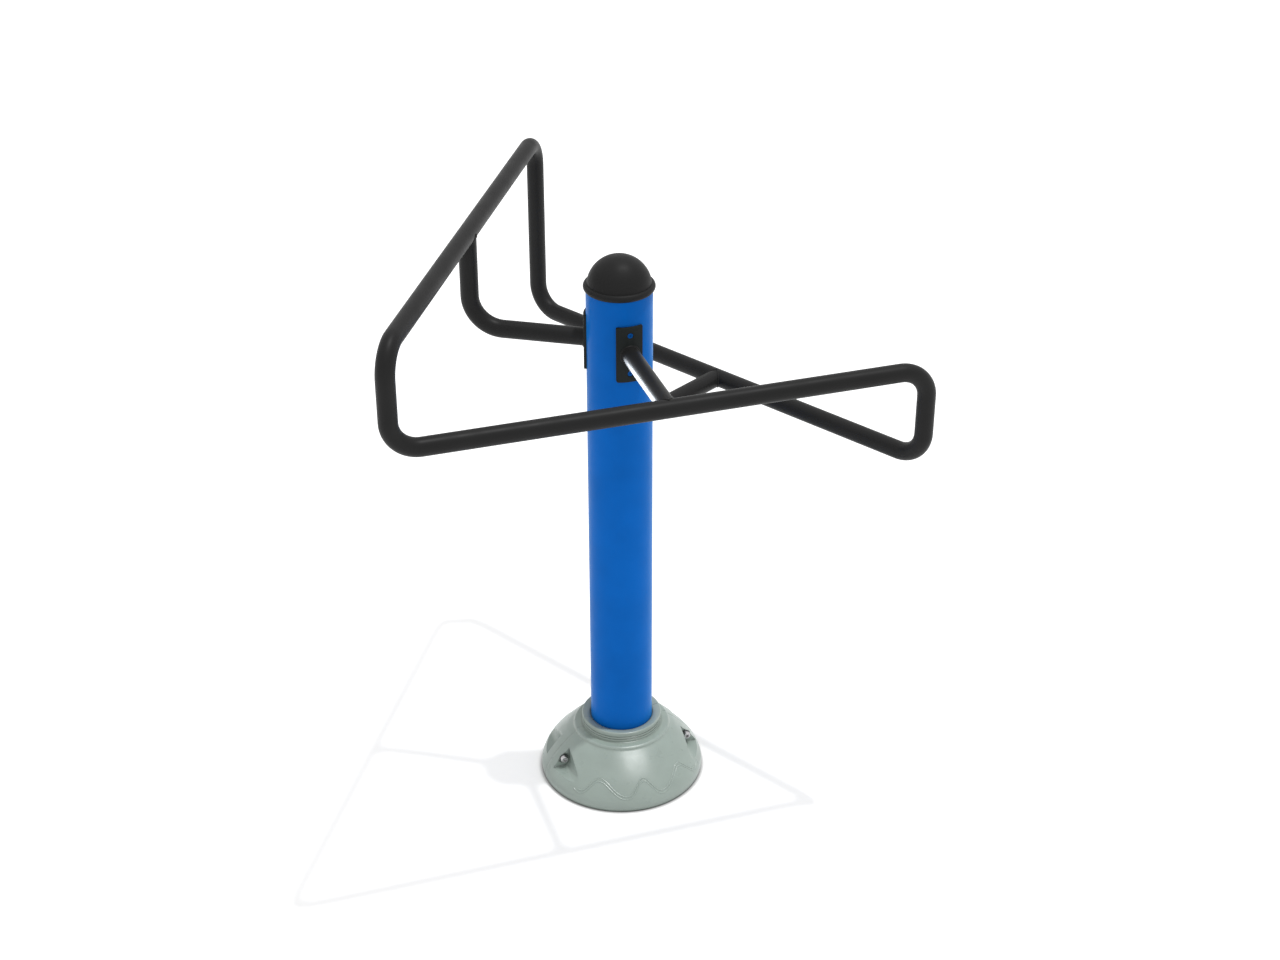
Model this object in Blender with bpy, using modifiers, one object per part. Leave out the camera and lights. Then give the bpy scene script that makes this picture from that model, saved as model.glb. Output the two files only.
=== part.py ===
"""Double stretching post.

A round steel post on a base plate, with a two-part moulded cover over its foot, a domed cap,
and three arms that carry one closed three-cornered handrail at three heights.
Metres, +Z up. The origin is on the ground at the post's axis; the front arm points along -Y.
"""

from math import asin, cos, pi, radians, sin, sqrt, tan

import bmesh
import bpy
from mathutils import Matrix, Vector

MM = 0.001

# Fits between neighbours
SEAT_GAP = 0.3 * MM
CUT_OVERRUN = 20.0 * MM
MERGE_DISTANCE = 0.01 * MM

# Post and its base plate
POST_RADIUS = 57.15 * MM
POST_WALL = 3.0 * MM
POST_ABOVE_MIDDLE_RAIL = 95.2 * MM
BASE_PLATE_MARGIN = 62.85 * MM
BASE_PLATE_THICKNESS = 12.0 * MM
ANCHOR_EDGE_DISTANCE = 25.0 * MM
ANCHOR_HOLE_RADIUS = 9.0 * MM
POST_WELD_LEG = 7.0 * MM
GUSSET_THICKNESS = 8.0 * MM
GUSSET_HEIGHT = 68.0 * MM
GUSSET_REACH = 50.0 * MM
GUSSET_NOSE = 9.0 * MM
GUSSET_SNIPE = 11.0 * MM

# Handrail tube, its three rails and its corners
TUBE_RADIUS = 15.9 * MM
TUBE_WALL = 2.5 * MM
RAIL_APOTHEM = 262.7 * MM
MIDDLE_RAIL_HEIGHT = 900.0 * MM
RAIL_HEIGHT_STEP = 172.0 * MM
RAIL_BEND_RADIUS = 50.0 * MM
ARM_BEND_RADIUS = 58.0 * MM
SLEEVE_CLEARANCE = 0.35 * MM
SLEEVE_WALL = 2.0 * MM
SLEEVE_LENGTH = 50.0 * MM

# Saddle plates and their fasteners
PLATE_WIDTH = 46.0 * MM
PLATE_HEIGHT = 102.0 * MM
PLATE_THICKNESS = 4.0 * MM
PLATE_CORNER_RADIUS = 2.5 * MM
PLATE_HOLE_EDGE_DISTANCE = 15.7 * MM
PLATE_COUNTERBORE_RADIUS = 5.2 * MM
PLATE_LEDGE = 1.6 * MM
PLATE_SCREW_RADIUS = 3.0 * MM
PLATE_SCREW_CLEARANCE = 0.3 * MM
PLATE_SCREW_HEAD_HEIGHT = 1.3 * MM
PLATE_SCREW_LENGTH = 13.0 * MM
PLATE_SCREW_SOCKET_RADIUS = 1.8 * MM
PLATE_SCREW_SOCKET_DEPTH = 0.8 * MM
RIVET_NUT_WALL = 1.3 * MM
RIVET_NUT_BULGE = 1.4 * MM
RIVET_NUT_BULGE_HEIGHT = 3.0 * MM
RIVET_NUT_TAIL = 6.0 * MM

# Weld beads of the arms
PLATE_WELD_RADIUS = 2.2 * MM
RAIL_WELD_RADIUS = 1.7 * MM

# Cap
CAP_DOME_STEP = 1.2 * MM
CAP_DOME_LIFT = 4.6 * MM
CAP_BEAD_RADIUS = 6.6 * MM
CAP_BEAD_OVERHANG = 4.4 * MM
CAP_WALL = 3.0 * MM
CAP_PLUG_DEPTH = 32.0 * MM
CAP_PLUG_CHAMFER = 2.0 * MM

# Foot cover
COVER_WALL = 3.0 * MM
COVER_CLEARANCE = 0.7 * MM
COVER_SEAM_GAP = 0.3 * MM
COLLAR_HEIGHT = 17.7 * MM
COLLAR_RISE = 3.6 * MM
COLLAR_WIDTH = 17.0 * MM
COLLAR_LIP_ROUND = 2.0 * MM
COLLAR_GROOVE_DEPTH = 1.4 * MM
COLLAR_GROOVE_WIDTH = 2.6 * MM
COLLAR_GROOVE_DROPS = (8.2 * MM, 13.4 * MM)
SHOULDER_HEIGHT = 102.0 * MM
SHOULDER_WIDTH = 16.0 * MM
SHOULDER_ROUND = 4.5 * MM
SHOULDER_DROP = 9.0 * MM
BELL_STEP = 4.5 * MM
RIM_MARGIN = 32.3 * MM
RIM_HEIGHT = 12.0 * MM
RIM_TUCK = 2.2 * MM
BELL_HANDLE_SHARES = ((0.40, 0.255), (1.0, 0.727))

# Corner notches of the cover, with the screws that clamp its two halves together
NOTCH_DEPTH = 42.3 * MM
NOTCH_BACK = 22.5 * MM
NOTCH_FLOOR_SHARE = 0.36275
NOTCH_ROUND = 15.0 * MM
CLAMP_OUTWARD = 11.5 * MM
CLAMP_HEIGHT_SHARE = 0.54412
CLAMP_BOSS_RADIUS = 8.5 * MM
CLAMP_SPOTFACE_RADIUS = 11.0 * MM
CLAMP_SPOTFACE_DEPTH = 1.5 * MM
CLAMP_SCREW_RADIUS = 4.0 * MM
CLAMP_SCREW_CLEARANCE = 0.4 * MM
CLAMP_TIP_CLEARANCE = 2.5 * MM
CLAMP_HEAD_RADIUS = 6.5 * MM
CLAMP_HEAD_HEIGHT = 8.0 * MM
CLAMP_HEAD_CHAMFER = 0.8 * MM
CLAMP_SOCKET_RADIUS = 3.46 * MM
CLAMP_SOCKET_DEPTH = 4.0 * MM
CLAMP_WASHER_RADIUS = 8.0 * MM
CLAMP_WASHER_THICKNESS = 1.6 * MM

# Roundness of the meshes, as counts of sides and steps
POST_SIDES = 48
TUBE_SIDES = 16
FACE_SIDES = 32
COVER_SIDES = 48
CAP_SIDES = 36
SCREW_SIDES = 14
NUT_SIDES = 12
HEX_SIDES = 6
BEND_STEPS = 6
BELL_STEPS = 6
DOME_STEPS = 7
CAP_HOLLOW_STEPS = 5
BEAD_STEPS = 5
ROUND_STEPS = 3
WELD_POINTS = 24
WELD_SIDES = 4

# Angles
FRONT = radians(-90.0)
RIGHT = radians(30.0)
LEFT = radians(150.0)
CORNER_HALF_ANGLE = radians(60.0)
GUSSET_ANGLES = [radians(45.0 + 90.0 * turn) for turn in range(4)]
ANCHOR_ANGLES = [radians(90.0 * turn) for turn in range(4)]
CAP_GROOVE_ANGLE = radians(70.0)
SMOOTH_ANGLE = radians(32.0)

# Sizes worked out from the ones above
LOW_RAIL_HEIGHT = MIDDLE_RAIL_HEIGHT - RAIL_HEIGHT_STEP
HIGH_RAIL_HEIGHT = MIDDLE_RAIL_HEIGHT + RAIL_HEIGHT_STEP
PLATE_INNER_RADIUS = POST_RADIUS + SEAT_GAP
PLATE_OUTER_RADIUS = PLATE_INNER_RADIUS + PLATE_THICKNESS
PLATE_HOLE_RISE = PLATE_HEIGHT / 2 - PLATE_HOLE_EDGE_DISTANCE
POST_FOOT = BASE_PLATE_THICKNESS + SEAT_GAP
POST_TOP = MIDDLE_RAIL_HEIGHT + POST_ABOVE_MIDDLE_RAIL
CAP_DOME_RADIUS = POST_RADIUS - CAP_DOME_STEP
BASE_PLATE_RADIUS = POST_RADIUS + BASE_PLATE_MARGIN
ANCHOR_CIRCLE_RADIUS = BASE_PLATE_RADIUS - ANCHOR_EDGE_DISTANCE
COVER_BORE_RADIUS = POST_RADIUS + COVER_CLEARANCE
COLLAR_RADIUS = POST_RADIUS + COLLAR_WIDTH
COLLAR_INNER_TOP = SHOULDER_HEIGHT + COLLAR_HEIGHT
RIM_RADIUS = BASE_PLATE_RADIUS + RIM_MARGIN
NOTCH_FLANK = RIM_RADIUS - NOTCH_DEPTH
NOTCH_FLOOR = SHOULDER_HEIGHT * NOTCH_FLOOR_SHARE
CLAMP_SEAT = NOTCH_BACK - CLAMP_SPOTFACE_DEPTH
CLAMP_X = NOTCH_FLANK + CLAMP_OUTWARD
CLAMP_Z = SHOULDER_HEIGHT * CLAMP_HEIGHT_SHARE

# Rails in order round the loop, and the plates, each with the direction it faces
RAILS = (
    ("middle_rail", FRONT, MIDDLE_RAIL_HEIGHT),
    ("low_rail", RIGHT, LOW_RAIL_HEIGHT),
    ("high_rail", LEFT, HIGH_RAIL_HEIGHT),
)
PLATES = (
    ("front_plate", FRONT, MIDDLE_RAIL_HEIGHT),
    ("right_plate", RIGHT, LOW_RAIL_HEIGHT),
    ("left_plate", LEFT, MIDDLE_RAIL_HEIGHT),
)
SIDES = (("left", -1), ("right", 1))
ENDS = (("front", -1), ("rear", 1))
LEVELS = (("lower", -1), ("upper", 1))

UP = Vector((0.0, 0.0, 1.0))
REARWARD = Vector((0.0, 1.0, 0.0))


# Scene helpers

def clear_scene():
    for obj in list(bpy.data.objects):
        bpy.data.objects.remove(obj, do_unlink=True)


def new_collection(name):
    made = bpy.data.collections.new(name)
    bpy.context.scene.collection.children.link(made)
    return made


clear_scene()
PARTS = new_collection("double_stretching_post")
CUTTERS = new_collection("cutters")


def make_material(name, colour, roughness, metallic=0.0):
    made = bpy.data.materials.new(name)
    made.use_nodes = True
    shader = made.node_tree.nodes["Principled BSDF"]
    shader.inputs["Base Color"].default_value = (*colour, 1.0)
    shader.inputs["Roughness"].default_value = roughness
    shader.inputs["Metallic"].default_value = metallic
    made.diffuse_color = (*colour, 1.0)
    return made


def smooth(mesh):
    mesh.shade_smooth()
    mesh.set_sharp_from_angle(angle=SMOOTH_ANGLE)


def add_object(name, data, collection=PARTS):
    obj = bpy.data.objects.new(name, data)
    collection.objects.link(obj)
    if collection is CUTTERS:
        obj.hide_render = True
        obj.display_type = "WIRE"
    return obj


def add_bmesh(name, shape, collection=PARTS):
    mesh = bpy.data.meshes.new(name)
    shape.to_mesh(mesh)
    shape.free()
    smooth(mesh)
    return add_object(name, mesh, collection)


def evaluated_mesh(obj):
    """The object's mesh as its modifiers leave it, with the caps of a curve welded."""
    depsgraph = bpy.context.evaluated_depsgraph_get()
    mesh = bpy.data.meshes.new_from_object(obj.evaluated_get(depsgraph))
    shape = bmesh.new()
    shape.from_mesh(mesh)
    bmesh.ops.remove_doubles(shape, verts=shape.verts, dist=MERGE_DISTANCE)
    shape.to_mesh(mesh)
    shape.free()
    smooth(mesh)
    return mesh


def settled(obj):
    """The object with its modifiers worked into its mesh."""
    mesh = evaluated_mesh(obj)
    obj.modifiers.clear()
    obj.data = mesh
    return obj


def as_mesh(curve):
    """Replace a curve by a mesh object of the same name and place."""
    name = curve.name
    place = curve.matrix_world.copy()
    mesh = evaluated_mesh(curve)
    bpy.data.objects.remove(curve, do_unlink=True)
    made = add_object(name, mesh)
    made.matrix_world = place
    return made


def finish(obj, material):
    obj = settled(obj)
    obj.data.materials.clear()
    obj.data.materials.append(material)
    return obj


def repeat(original, places):
    """Copies of a finished piece that share its mesh, one for each name and place."""
    for name, place in places:
        add_object(name, original.data).matrix_world = place
    bpy.data.objects.remove(original, do_unlink=True)


def boolean(target, tool, operation="DIFFERENCE"):
    modifier = target.modifiers.new(operation.lower(), "BOOLEAN")
    modifier.operation = operation
    modifier.solver = "EXACT"
    modifier.object = tool
    return target


# Shape helpers

def block(low, high):
    """A block between two corners, as a bmesh."""
    low, high = Vector(low), Vector(high)
    shape = bmesh.new()
    bmesh.ops.create_cube(shape, size=1.0)
    bmesh.ops.scale(shape, vec=high - low, verts=shape.verts)
    bmesh.ops.translate(shape, vec=(low + high) / 2, verts=shape.verts)
    return shape


def rounded_block(name, low, high, radius, picks):
    """A cutter block, rounded at the edges whose two ends a test picks."""
    shape = block(low, high)
    edges = [edge for edge in shape.edges if picks(edge.verts[0].co, edge.verts[1].co)]
    bmesh.ops.bevel(
        shape, geom=edges, offset=radius, segments=ROUND_STEPS, profile=0.5, affect="EDGES")
    return add_bmesh(name, shape, CUTTERS)


def facing(direction):
    """Rotation that turns +Z to a direction."""
    return direction.to_track_quat("Z", "Y").to_matrix().to_4x4()


def cylinder(name, start, end, radius, sides, collection=CUTTERS):
    shape = bmesh.new()
    bmesh.ops.create_cone(
        shape, cap_ends=True, segments=sides, radius1=radius, radius2=radius,
        depth=(end - start).length,
    )
    obj = add_bmesh(name, shape, collection)
    obj.matrix_world = Matrix.Translation((start + end) / 2) @ facing(end - start)
    return obj


def turned(name, profile, sides, closed=False, collection=PARTS):
    """A profile of (radius, height) points, outer side downwards, turned about Z."""
    shape = bmesh.new()
    points = [shape.verts.new((radius, 0.0, height)) for radius, height in profile]
    for first, second in zip(points, points[1:]):
        shape.edges.new((first, second))
    if closed:
        shape.edges.new((points[-1], points[0]))
    obj = add_bmesh(name, shape, collection)
    screw = obj.modifiers.new("turn", "SCREW")
    screw.axis = "Z"
    screw.angle = 2.0 * pi
    screw.steps = sides
    screw.render_steps = sides
    screw.use_merge_vertices = True
    screw.merge_threshold = MERGE_DISTANCE
    return obj


def arc(centre, radius, start, end, steps):
    """Points of a profile on a circle, from one angle to another."""
    angles = [start + (end - start) * step / steps for step in range(steps + 1)]
    return [(centre[0] + radius * cos(a), centre[1] + radius * sin(a)) for a in angles]


def bezier(start, first_handle, second_handle, end, steps):
    points = []
    for step in range(steps + 1):
        t = step / steps
        weights = ((1 - t) ** 3, 3 * (1 - t) ** 2 * t, 3 * (1 - t) * t ** 2, t ** 3)
        corners = (start, first_handle, second_handle, end)
        points.append(tuple(
            sum(weight * corner[axis] for weight, corner in zip(weights, corners))
            for axis in range(2)
        ))
    return points


def inset(points, distance):
    """A profile that runs down its outer side, moved inwards."""
    moved = []
    for index, point in enumerate(points):
        before = Vector(points[max(index - 1, 0)])
        after = Vector(points[min(index + 1, len(points) - 1)])
        run = (after - before).normalized()
        moved.append((point[0] + run.y * distance, point[1] - run.x * distance))
    return moved


def bent_path(corners, radius):
    """A route through corners, with each corner between two straights turned in a bend."""
    route = [corners[0]]
    for before, corner, after in zip(corners, corners[1:], corners[2:]):
        back = (before - corner).normalized()
        ahead = (after - corner).normalized()
        half = back.angle(ahead) / 2
        centre = corner + (back + ahead).normalized() * radius / sin(half)
        start = corner + back * radius / tan(half) - centre
        axis = ahead.cross(back).normalized()
        turn = pi - 2 * half
        for step in range(BEND_STEPS + 1):
            spin = Matrix.Rotation(turn * step / BEND_STEPS, 3, axis)
            route.append(centre + spin @ start)
    route.append(corners[-1])
    return route


def bar_along(name, route, radius, sides, closed=False, caps=True):
    """A round bar along a route, as a mesh."""
    data = bpy.data.curves.new(name, "CURVE")
    data.dimensions = "3D"
    data.bevel_depth = radius
    data.bevel_resolution = (sides - 4) // 2
    data.use_fill_caps = caps
    spline = data.splines.new("POLY")
    spline.points.add(len(route) - 1)
    for point, place in zip(spline.points, route):
        point.co = (*place, 1.0)
    spline.use_cyclic_u = closed
    return as_mesh(add_object(name, data))


def tube_along(name, route):
    """A hollow handrail tube along a route, open at both ends."""
    obj = bar_along(name, route, TUBE_RADIUS, TUBE_SIDES, caps=False)
    wall = obj.modifiers.new("wall", "SOLIDIFY")
    wall.thickness = TUBE_WALL
    wall.offset = -1.0
    wall.use_even_offset = True
    wall.use_rim = True
    return settled(obj)


def flat_shape(name, outline, thickness):
    """A flat outline in the XY plane, thickened both ways."""
    data = bpy.data.curves.new(name, "CURVE")
    data.dimensions = "2D"
    data.fill_mode = "BOTH"
    data.extrude = thickness / 2
    spline = data.splines.new("POLY")
    spline.points.add(len(outline) - 1)
    for point, place in zip(spline.points, outline):
        point.co = (*place, 0.0, 1.0)
    spline.use_cyclic_u = True
    return as_mesh(add_object(name, data))


def outward(angle):
    return Vector((cos(angle), sin(angle), 0.0))


def sideways(angle):
    return Vector((-sin(angle), cos(angle), 0.0))


# Post, base plate and what joins them

def make_post(material):
    inner = POST_RADIUS - POST_WALL
    profile = [
        (POST_RADIUS, POST_TOP), (POST_RADIUS, POST_FOOT), (inner, POST_FOOT), (inner, POST_TOP),
    ]
    post = turned("post_tube", profile, POST_SIDES, closed=True)
    for name, angle, height in plate_screw_places():
        centre = UP * height
        reach = outward(angle) * (POST_RADIUS + CUT_OVERRUN)
        boolean(post, cylinder(
            name + "_nut_hole", centre, centre + reach, rivet_nut_radius() + SEAT_GAP,
            SCREW_SIDES))
    finish(post, material)


def make_base_plate(material):
    plate = cylinder(
        "base_plate", UP * 0.0, UP * BASE_PLATE_THICKNESS, BASE_PLATE_RADIUS, POST_SIDES, PARTS)
    for angle in ANCHOR_ANGLES:
        centre = outward(angle) * ANCHOR_CIRCLE_RADIUS
        boolean(plate, cylinder(
            "anchor_hole", centre - UP * CUT_OVERRUN, centre + UP * CUT_OVERRUN,
            ANCHOR_HOLE_RADIUS, SCREW_SIDES))
    finish(plate, material)


def make_post_weld(material):
    inner = POST_RADIUS + SEAT_GAP
    profile = [
        (inner, POST_FOOT + POST_WELD_LEG), (inner + POST_WELD_LEG, POST_FOOT), (inner, POST_FOOT),
    ]
    finish(turned("post_weld", profile, POST_SIDES, closed=True), material)


def make_gussets(material):
    inner = POST_RADIUS + SEAT_GAP
    outline = [
        (inner + GUSSET_SNIPE, POST_FOOT), (inner + GUSSET_REACH, POST_FOOT),
        (inner + GUSSET_REACH, POST_FOOT + GUSSET_NOSE),
        (inner + GUSSET_NOSE, POST_FOOT + GUSSET_HEIGHT),
        (inner, POST_FOOT + GUSSET_HEIGHT), (inner, POST_FOOT + GUSSET_SNIPE),
    ]
    gusset = finish(flat_shape("gusset", outline, GUSSET_THICKNESS), material)
    upright = Matrix.Rotation(pi / 2, 4, "X")
    repeat(gusset, [
        (f"base_gusset_{number}", Matrix.Rotation(angle, 4, "Z") @ upright)
        for number, angle in enumerate(GUSSET_ANGLES, start=1)
    ])


# Cap

def make_cap(material):
    underside = POST_TOP + SEAT_GAP
    dome_centre = (0.0, underside + CAP_DOME_LIFT)
    bead_inset = CAP_BEAD_RADIUS - CAP_BEAD_OVERHANG
    bead_centre = (
        POST_RADIUS - bead_inset,
        underside + sqrt(CAP_BEAD_RADIUS ** 2 - bead_inset ** 2),
    )
    groove_height = bead_centre[1] + CAP_BEAD_RADIUS * sin(CAP_GROOVE_ANGLE)
    dome_foot = asin((groove_height - dome_centre[1]) / CAP_DOME_RADIUS)
    dome = arc(dome_centre, CAP_DOME_RADIUS, pi / 2, dome_foot, DOME_STEPS)
    bead_foot = asin(bead_inset / CAP_BEAD_RADIUS) - pi / 2
    bead = arc(bead_centre, CAP_BEAD_RADIUS, CAP_GROOVE_ANGLE, bead_foot, BEAD_STEPS)
    plug = POST_RADIUS - POST_WALL - SEAT_GAP
    bottom = underside - CAP_PLUG_DEPTH
    hollow = plug - CAP_WALL
    walls = [
        (plug, underside), (plug, bottom + CAP_PLUG_CHAMFER),
        (plug - CAP_PLUG_CHAMFER / 2, bottom), (hollow, bottom), (hollow, underside),
    ]
    inner = arc(dome_centre, CAP_DOME_RADIUS - CAP_WALL, 0.0, pi / 2, CAP_HOLLOW_STEPS)
    inner = [point for point in inner if point[0] < hollow]
    dome[0] = (0.0, dome[0][1])
    inner[-1] = (0.0, inner[-1][1])
    finish(turned("post_cap", dome + bead + walls + inner, CAP_SIDES), material)


# Handrail

def rail_corner(angle, height):
    """A corner of the loop, seen from above at an angle, at a height."""
    return outward(angle) * RAIL_APOTHEM / cos(CORNER_HALF_ANGLE) + UP * height


def leg_end(height, other):
    """Where a rail's half leg stops, just short of the middle of its corner."""
    away = SEAT_GAP / 2 if height > other else -SEAT_GAP / 2
    return (height + other) / 2 + away


def make_rails(material):
    for index, (name, angle, height) in enumerate(RAILS):
        before = RAILS[index - 1][2]
        after = RAILS[(index + 1) % len(RAILS)][2]
        start, end = angle - CORNER_HALF_ANGLE, angle + CORNER_HALF_ANGLE
        corners = [
            rail_corner(start, leg_end(height, before)), rail_corner(start, height),
            rail_corner(end, height), rail_corner(end, leg_end(height, after)),
        ]
        finish(tube_along(name, bent_path(corners, RAIL_BEND_RADIUS)), material)


def make_sleeves(material):
    outer = TUBE_RADIUS - TUBE_WALL - SLEEVE_CLEARANCE
    inner = outer - SLEEVE_WALL
    half = SLEEVE_LENGTH / 2
    profile = [(outer, half), (outer, -half), (inner, -half), (inner, half)]
    sleeve = finish(turned("sleeve", profile, TUBE_SIDES, closed=True), material)
    places = []
    for index, (name, angle, height) in enumerate(RAILS):
        after = RAILS[(index + 1) % len(RAILS)][2]
        corner = rail_corner(angle + CORNER_HALF_ANGLE, (height + after) / 2)
        places.append((name + "_sleeve", Matrix.Translation(corner)))
    repeat(sleeve, places)


# Arms, their plates and their welds

def plate_face():
    """Cutter of the saddle plates' outer face, grown by the seat gap."""
    face = PLATE_OUTER_RADIUS + SEAT_GAP
    foot = LOW_RAIL_HEIGHT - PLATE_HEIGHT
    top = HIGH_RAIL_HEIGHT + PLATE_HEIGHT
    profile = [(0.0, top), (face, top), (face, foot), (0.0, foot)]
    return settled(turned("plate_face", profile, POST_SIDES, collection=CUTTERS))


def rail_face(angle, height):
    """Cutter of a rail's outer face, grown by the seat gap."""
    middle = outward(angle) * RAIL_APOTHEM + UP * height
    reach = sideways(angle) * (TUBE_RADIUS + CUT_OVERRUN)
    return cylinder("rail_face", middle - reach, middle + reach, TUBE_RADIUS + SEAT_GAP, FACE_SIDES)


def weld_bead(name, centre, back, target_axis, target_radius, radius, cutters, material):
    """A bead where an arm that comes from the back meets a round face about an axis."""
    across = back.cross(target_axis)
    route = []
    for step in range(WELD_POINTS):
        turn = 2.0 * pi * step / WELD_POINTS
        side = TUBE_RADIUS * sin(turn)
        depth = sqrt(max(target_radius ** 2 - side ** 2, 0.0))
        route.append(
            centre + target_axis * TUBE_RADIUS * cos(turn) + across * side + back * depth)
    bead = bar_along(name, route, radius, WELD_SIDES, closed=True)
    reach = back * (target_radius + CUT_OVERRUN)
    arm_face = cylinder("arm_face", centre, centre + reach, TUBE_RADIUS + SEAT_GAP, TUBE_SIDES)
    for cutter in cutters + [arm_face]:
        boolean(bead, cutter)
    finish(bead, material)


def make_arms(material, weld_material):
    saddle = plate_face()
    arms = (
        ("front", FRONT, MIDDLE_RAIL_HEIGHT, MIDDLE_RAIL_HEIGHT),
        ("right", RIGHT, LOW_RAIL_HEIGHT, LOW_RAIL_HEIGHT),
        ("left", LEFT, MIDDLE_RAIL_HEIGHT, HIGH_RAIL_HEIGHT),
    )
    for name, angle, height, rail_height in arms:
        out = outward(angle)
        level = UP * height
        joint = out * RAIL_APOTHEM + UP * rail_height
        route = [out * POST_RADIUS + level, out * RAIL_APOTHEM + level]
        back = -out
        if rail_height > height:
            route = bent_path(route + [joint], ARM_BEND_RADIUS)
            back = -UP
        rail = rail_face(angle, rail_height)
        arm = tube_along(name + "_arm", route)
        boolean(arm, saddle)
        boolean(arm, rail)
        finish(arm, material)
        weld_bead(
            name + "_plate_weld", level, out, UP, PLATE_OUTER_RADIUS, PLATE_WELD_RADIUS,
            [saddle], weld_material)
        weld_bead(
            name + "_rail_weld", joint, back, sideways(angle), TUBE_RADIUS, RAIL_WELD_RADIUS,
            [rail], weld_material)


def plate_screw_places():
    """Name, direction and height of each saddle plate's screws."""
    return [
        (f"{name}_{level}", angle, height + side * PLATE_HOLE_RISE)
        for name, angle, height in PLATES
        for level, side in LEVELS
    ]


def make_plate(name, angle, height, material):
    rise = PLATE_HEIGHT / 2 + CUT_OVERRUN
    profile = [
        (PLATE_OUTER_RADIUS, height + rise), (PLATE_OUTER_RADIUS, height - rise),
        (PLATE_INNER_RADIUS, height - rise), (PLATE_INNER_RADIUS, height + rise),
    ]
    plate = turned(name, profile, POST_SIDES, closed=True)
    reach = PLATE_OUTER_RADIUS + CUT_OVERRUN
    outline = rounded_block(
        name + "_outline", (0.0, -PLATE_WIDTH / 2, -PLATE_HEIGHT / 2),
        (reach, PLATE_WIDTH / 2, PLATE_HEIGHT / 2), PLATE_CORNER_RADIUS,
        lambda first, second: abs(first.x - second.x) > PLATE_INNER_RADIUS)
    outline.matrix_world = Matrix.Translation(UP * height) @ Matrix.Rotation(angle, 4, "Z")
    boolean(plate, outline, "INTERSECT")
    out = outward(angle)
    ledge = PLATE_INNER_RADIUS + PLATE_LEDGE
    for level, side in LEVELS:
        centre = UP * (height + side * PLATE_HOLE_RISE)
        boolean(plate, cylinder(
            level + "_counterbore", centre + out * ledge, centre + out * reach,
            PLATE_COUNTERBORE_RADIUS, SCREW_SIDES))
        boolean(plate, cylinder(
            level + "_hole", centre, centre + out * reach,
            PLATE_SCREW_RADIUS + PLATE_SCREW_CLEARANCE, SCREW_SIDES))
    finish(plate, material)


def cut_socket(screw, top, depth, radius):
    """A hexagon socket in the top of a screw that stands on the origin."""
    boolean(screw, cylinder(
        "socket", UP * (top - depth), UP * (top + CUT_OVERRUN), radius, HEX_SIDES))


def make_plate_screws(material):
    head = PLATE_COUNTERBORE_RADIUS - SEAT_GAP
    top = PLATE_SCREW_HEAD_HEIGHT
    chamfer = PLATE_SCREW_HEAD_HEIGHT / 4
    profile = [
        (0.0, top), (head - chamfer, top), (head, top - chamfer), (head, 0.0),
        (PLATE_SCREW_RADIUS, 0.0), (PLATE_SCREW_RADIUS, -PLATE_SCREW_LENGTH),
        (0.0, -PLATE_SCREW_LENGTH),
    ]
    screw = turned("screw", profile, SCREW_SIDES)
    cut_socket(screw, top, PLATE_SCREW_SOCKET_DEPTH, PLATE_SCREW_SOCKET_RADIUS)
    seat = PLATE_INNER_RADIUS + PLATE_LEDGE + SEAT_GAP
    repeat(finish(screw, material), [
        (name + "_screw",
         Matrix.Translation(outward(angle) * seat + UP * height) @ facing(outward(angle)))
        for name, angle, height in plate_screw_places()
    ])


def rivet_nut_radius():
    return PLATE_SCREW_RADIUS + PLATE_SCREW_CLEARANCE + RIVET_NUT_WALL


def make_rivet_nuts(material):
    body = rivet_nut_radius()
    bore = PLATE_SCREW_RADIUS + PLATE_SCREW_CLEARANCE
    bulge = body + RIVET_NUT_BULGE
    bulge_top = -POST_WALL - SEAT_GAP
    bulge_foot = bulge_top - RIVET_NUT_BULGE_HEIGHT
    tail = bulge_foot - RIVET_NUT_TAIL
    profile = [
        (body, 0.0), (body, bulge_top), (bulge, (bulge_top + bulge_foot) / 2),
        (body, bulge_foot), (body, tail), (bore, tail), (bore, 0.0),
    ]
    nut = finish(turned("nut", profile, NUT_SIDES, closed=True), material)
    head = POST_RADIUS - SEAT_GAP
    repeat(nut, [
        (name + "_rivet_nut",
         Matrix.Translation(outward(angle) * head + UP * height) @ facing(outward(angle)))
        for name, angle, height in plate_screw_places()
    ])


# Foot cover

def bell_outline():
    """The cover's flared skirt, from below its shoulder to its rim."""
    start = (COLLAR_RADIUS + SHOULDER_WIDTH + BELL_STEP, SHOULDER_HEIGHT - SHOULDER_DROP)
    end = (RIM_RADIUS, RIM_HEIGHT)
    width, height = end[0] - start[0], start[1] - end[1]
    handles = [
        (start[0] + width * across, start[1] - height * down)
        for across, down in BELL_HANDLE_SHARES
    ]
    return bezier(start, handles[0], handles[1], end, BELL_STEPS)


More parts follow.
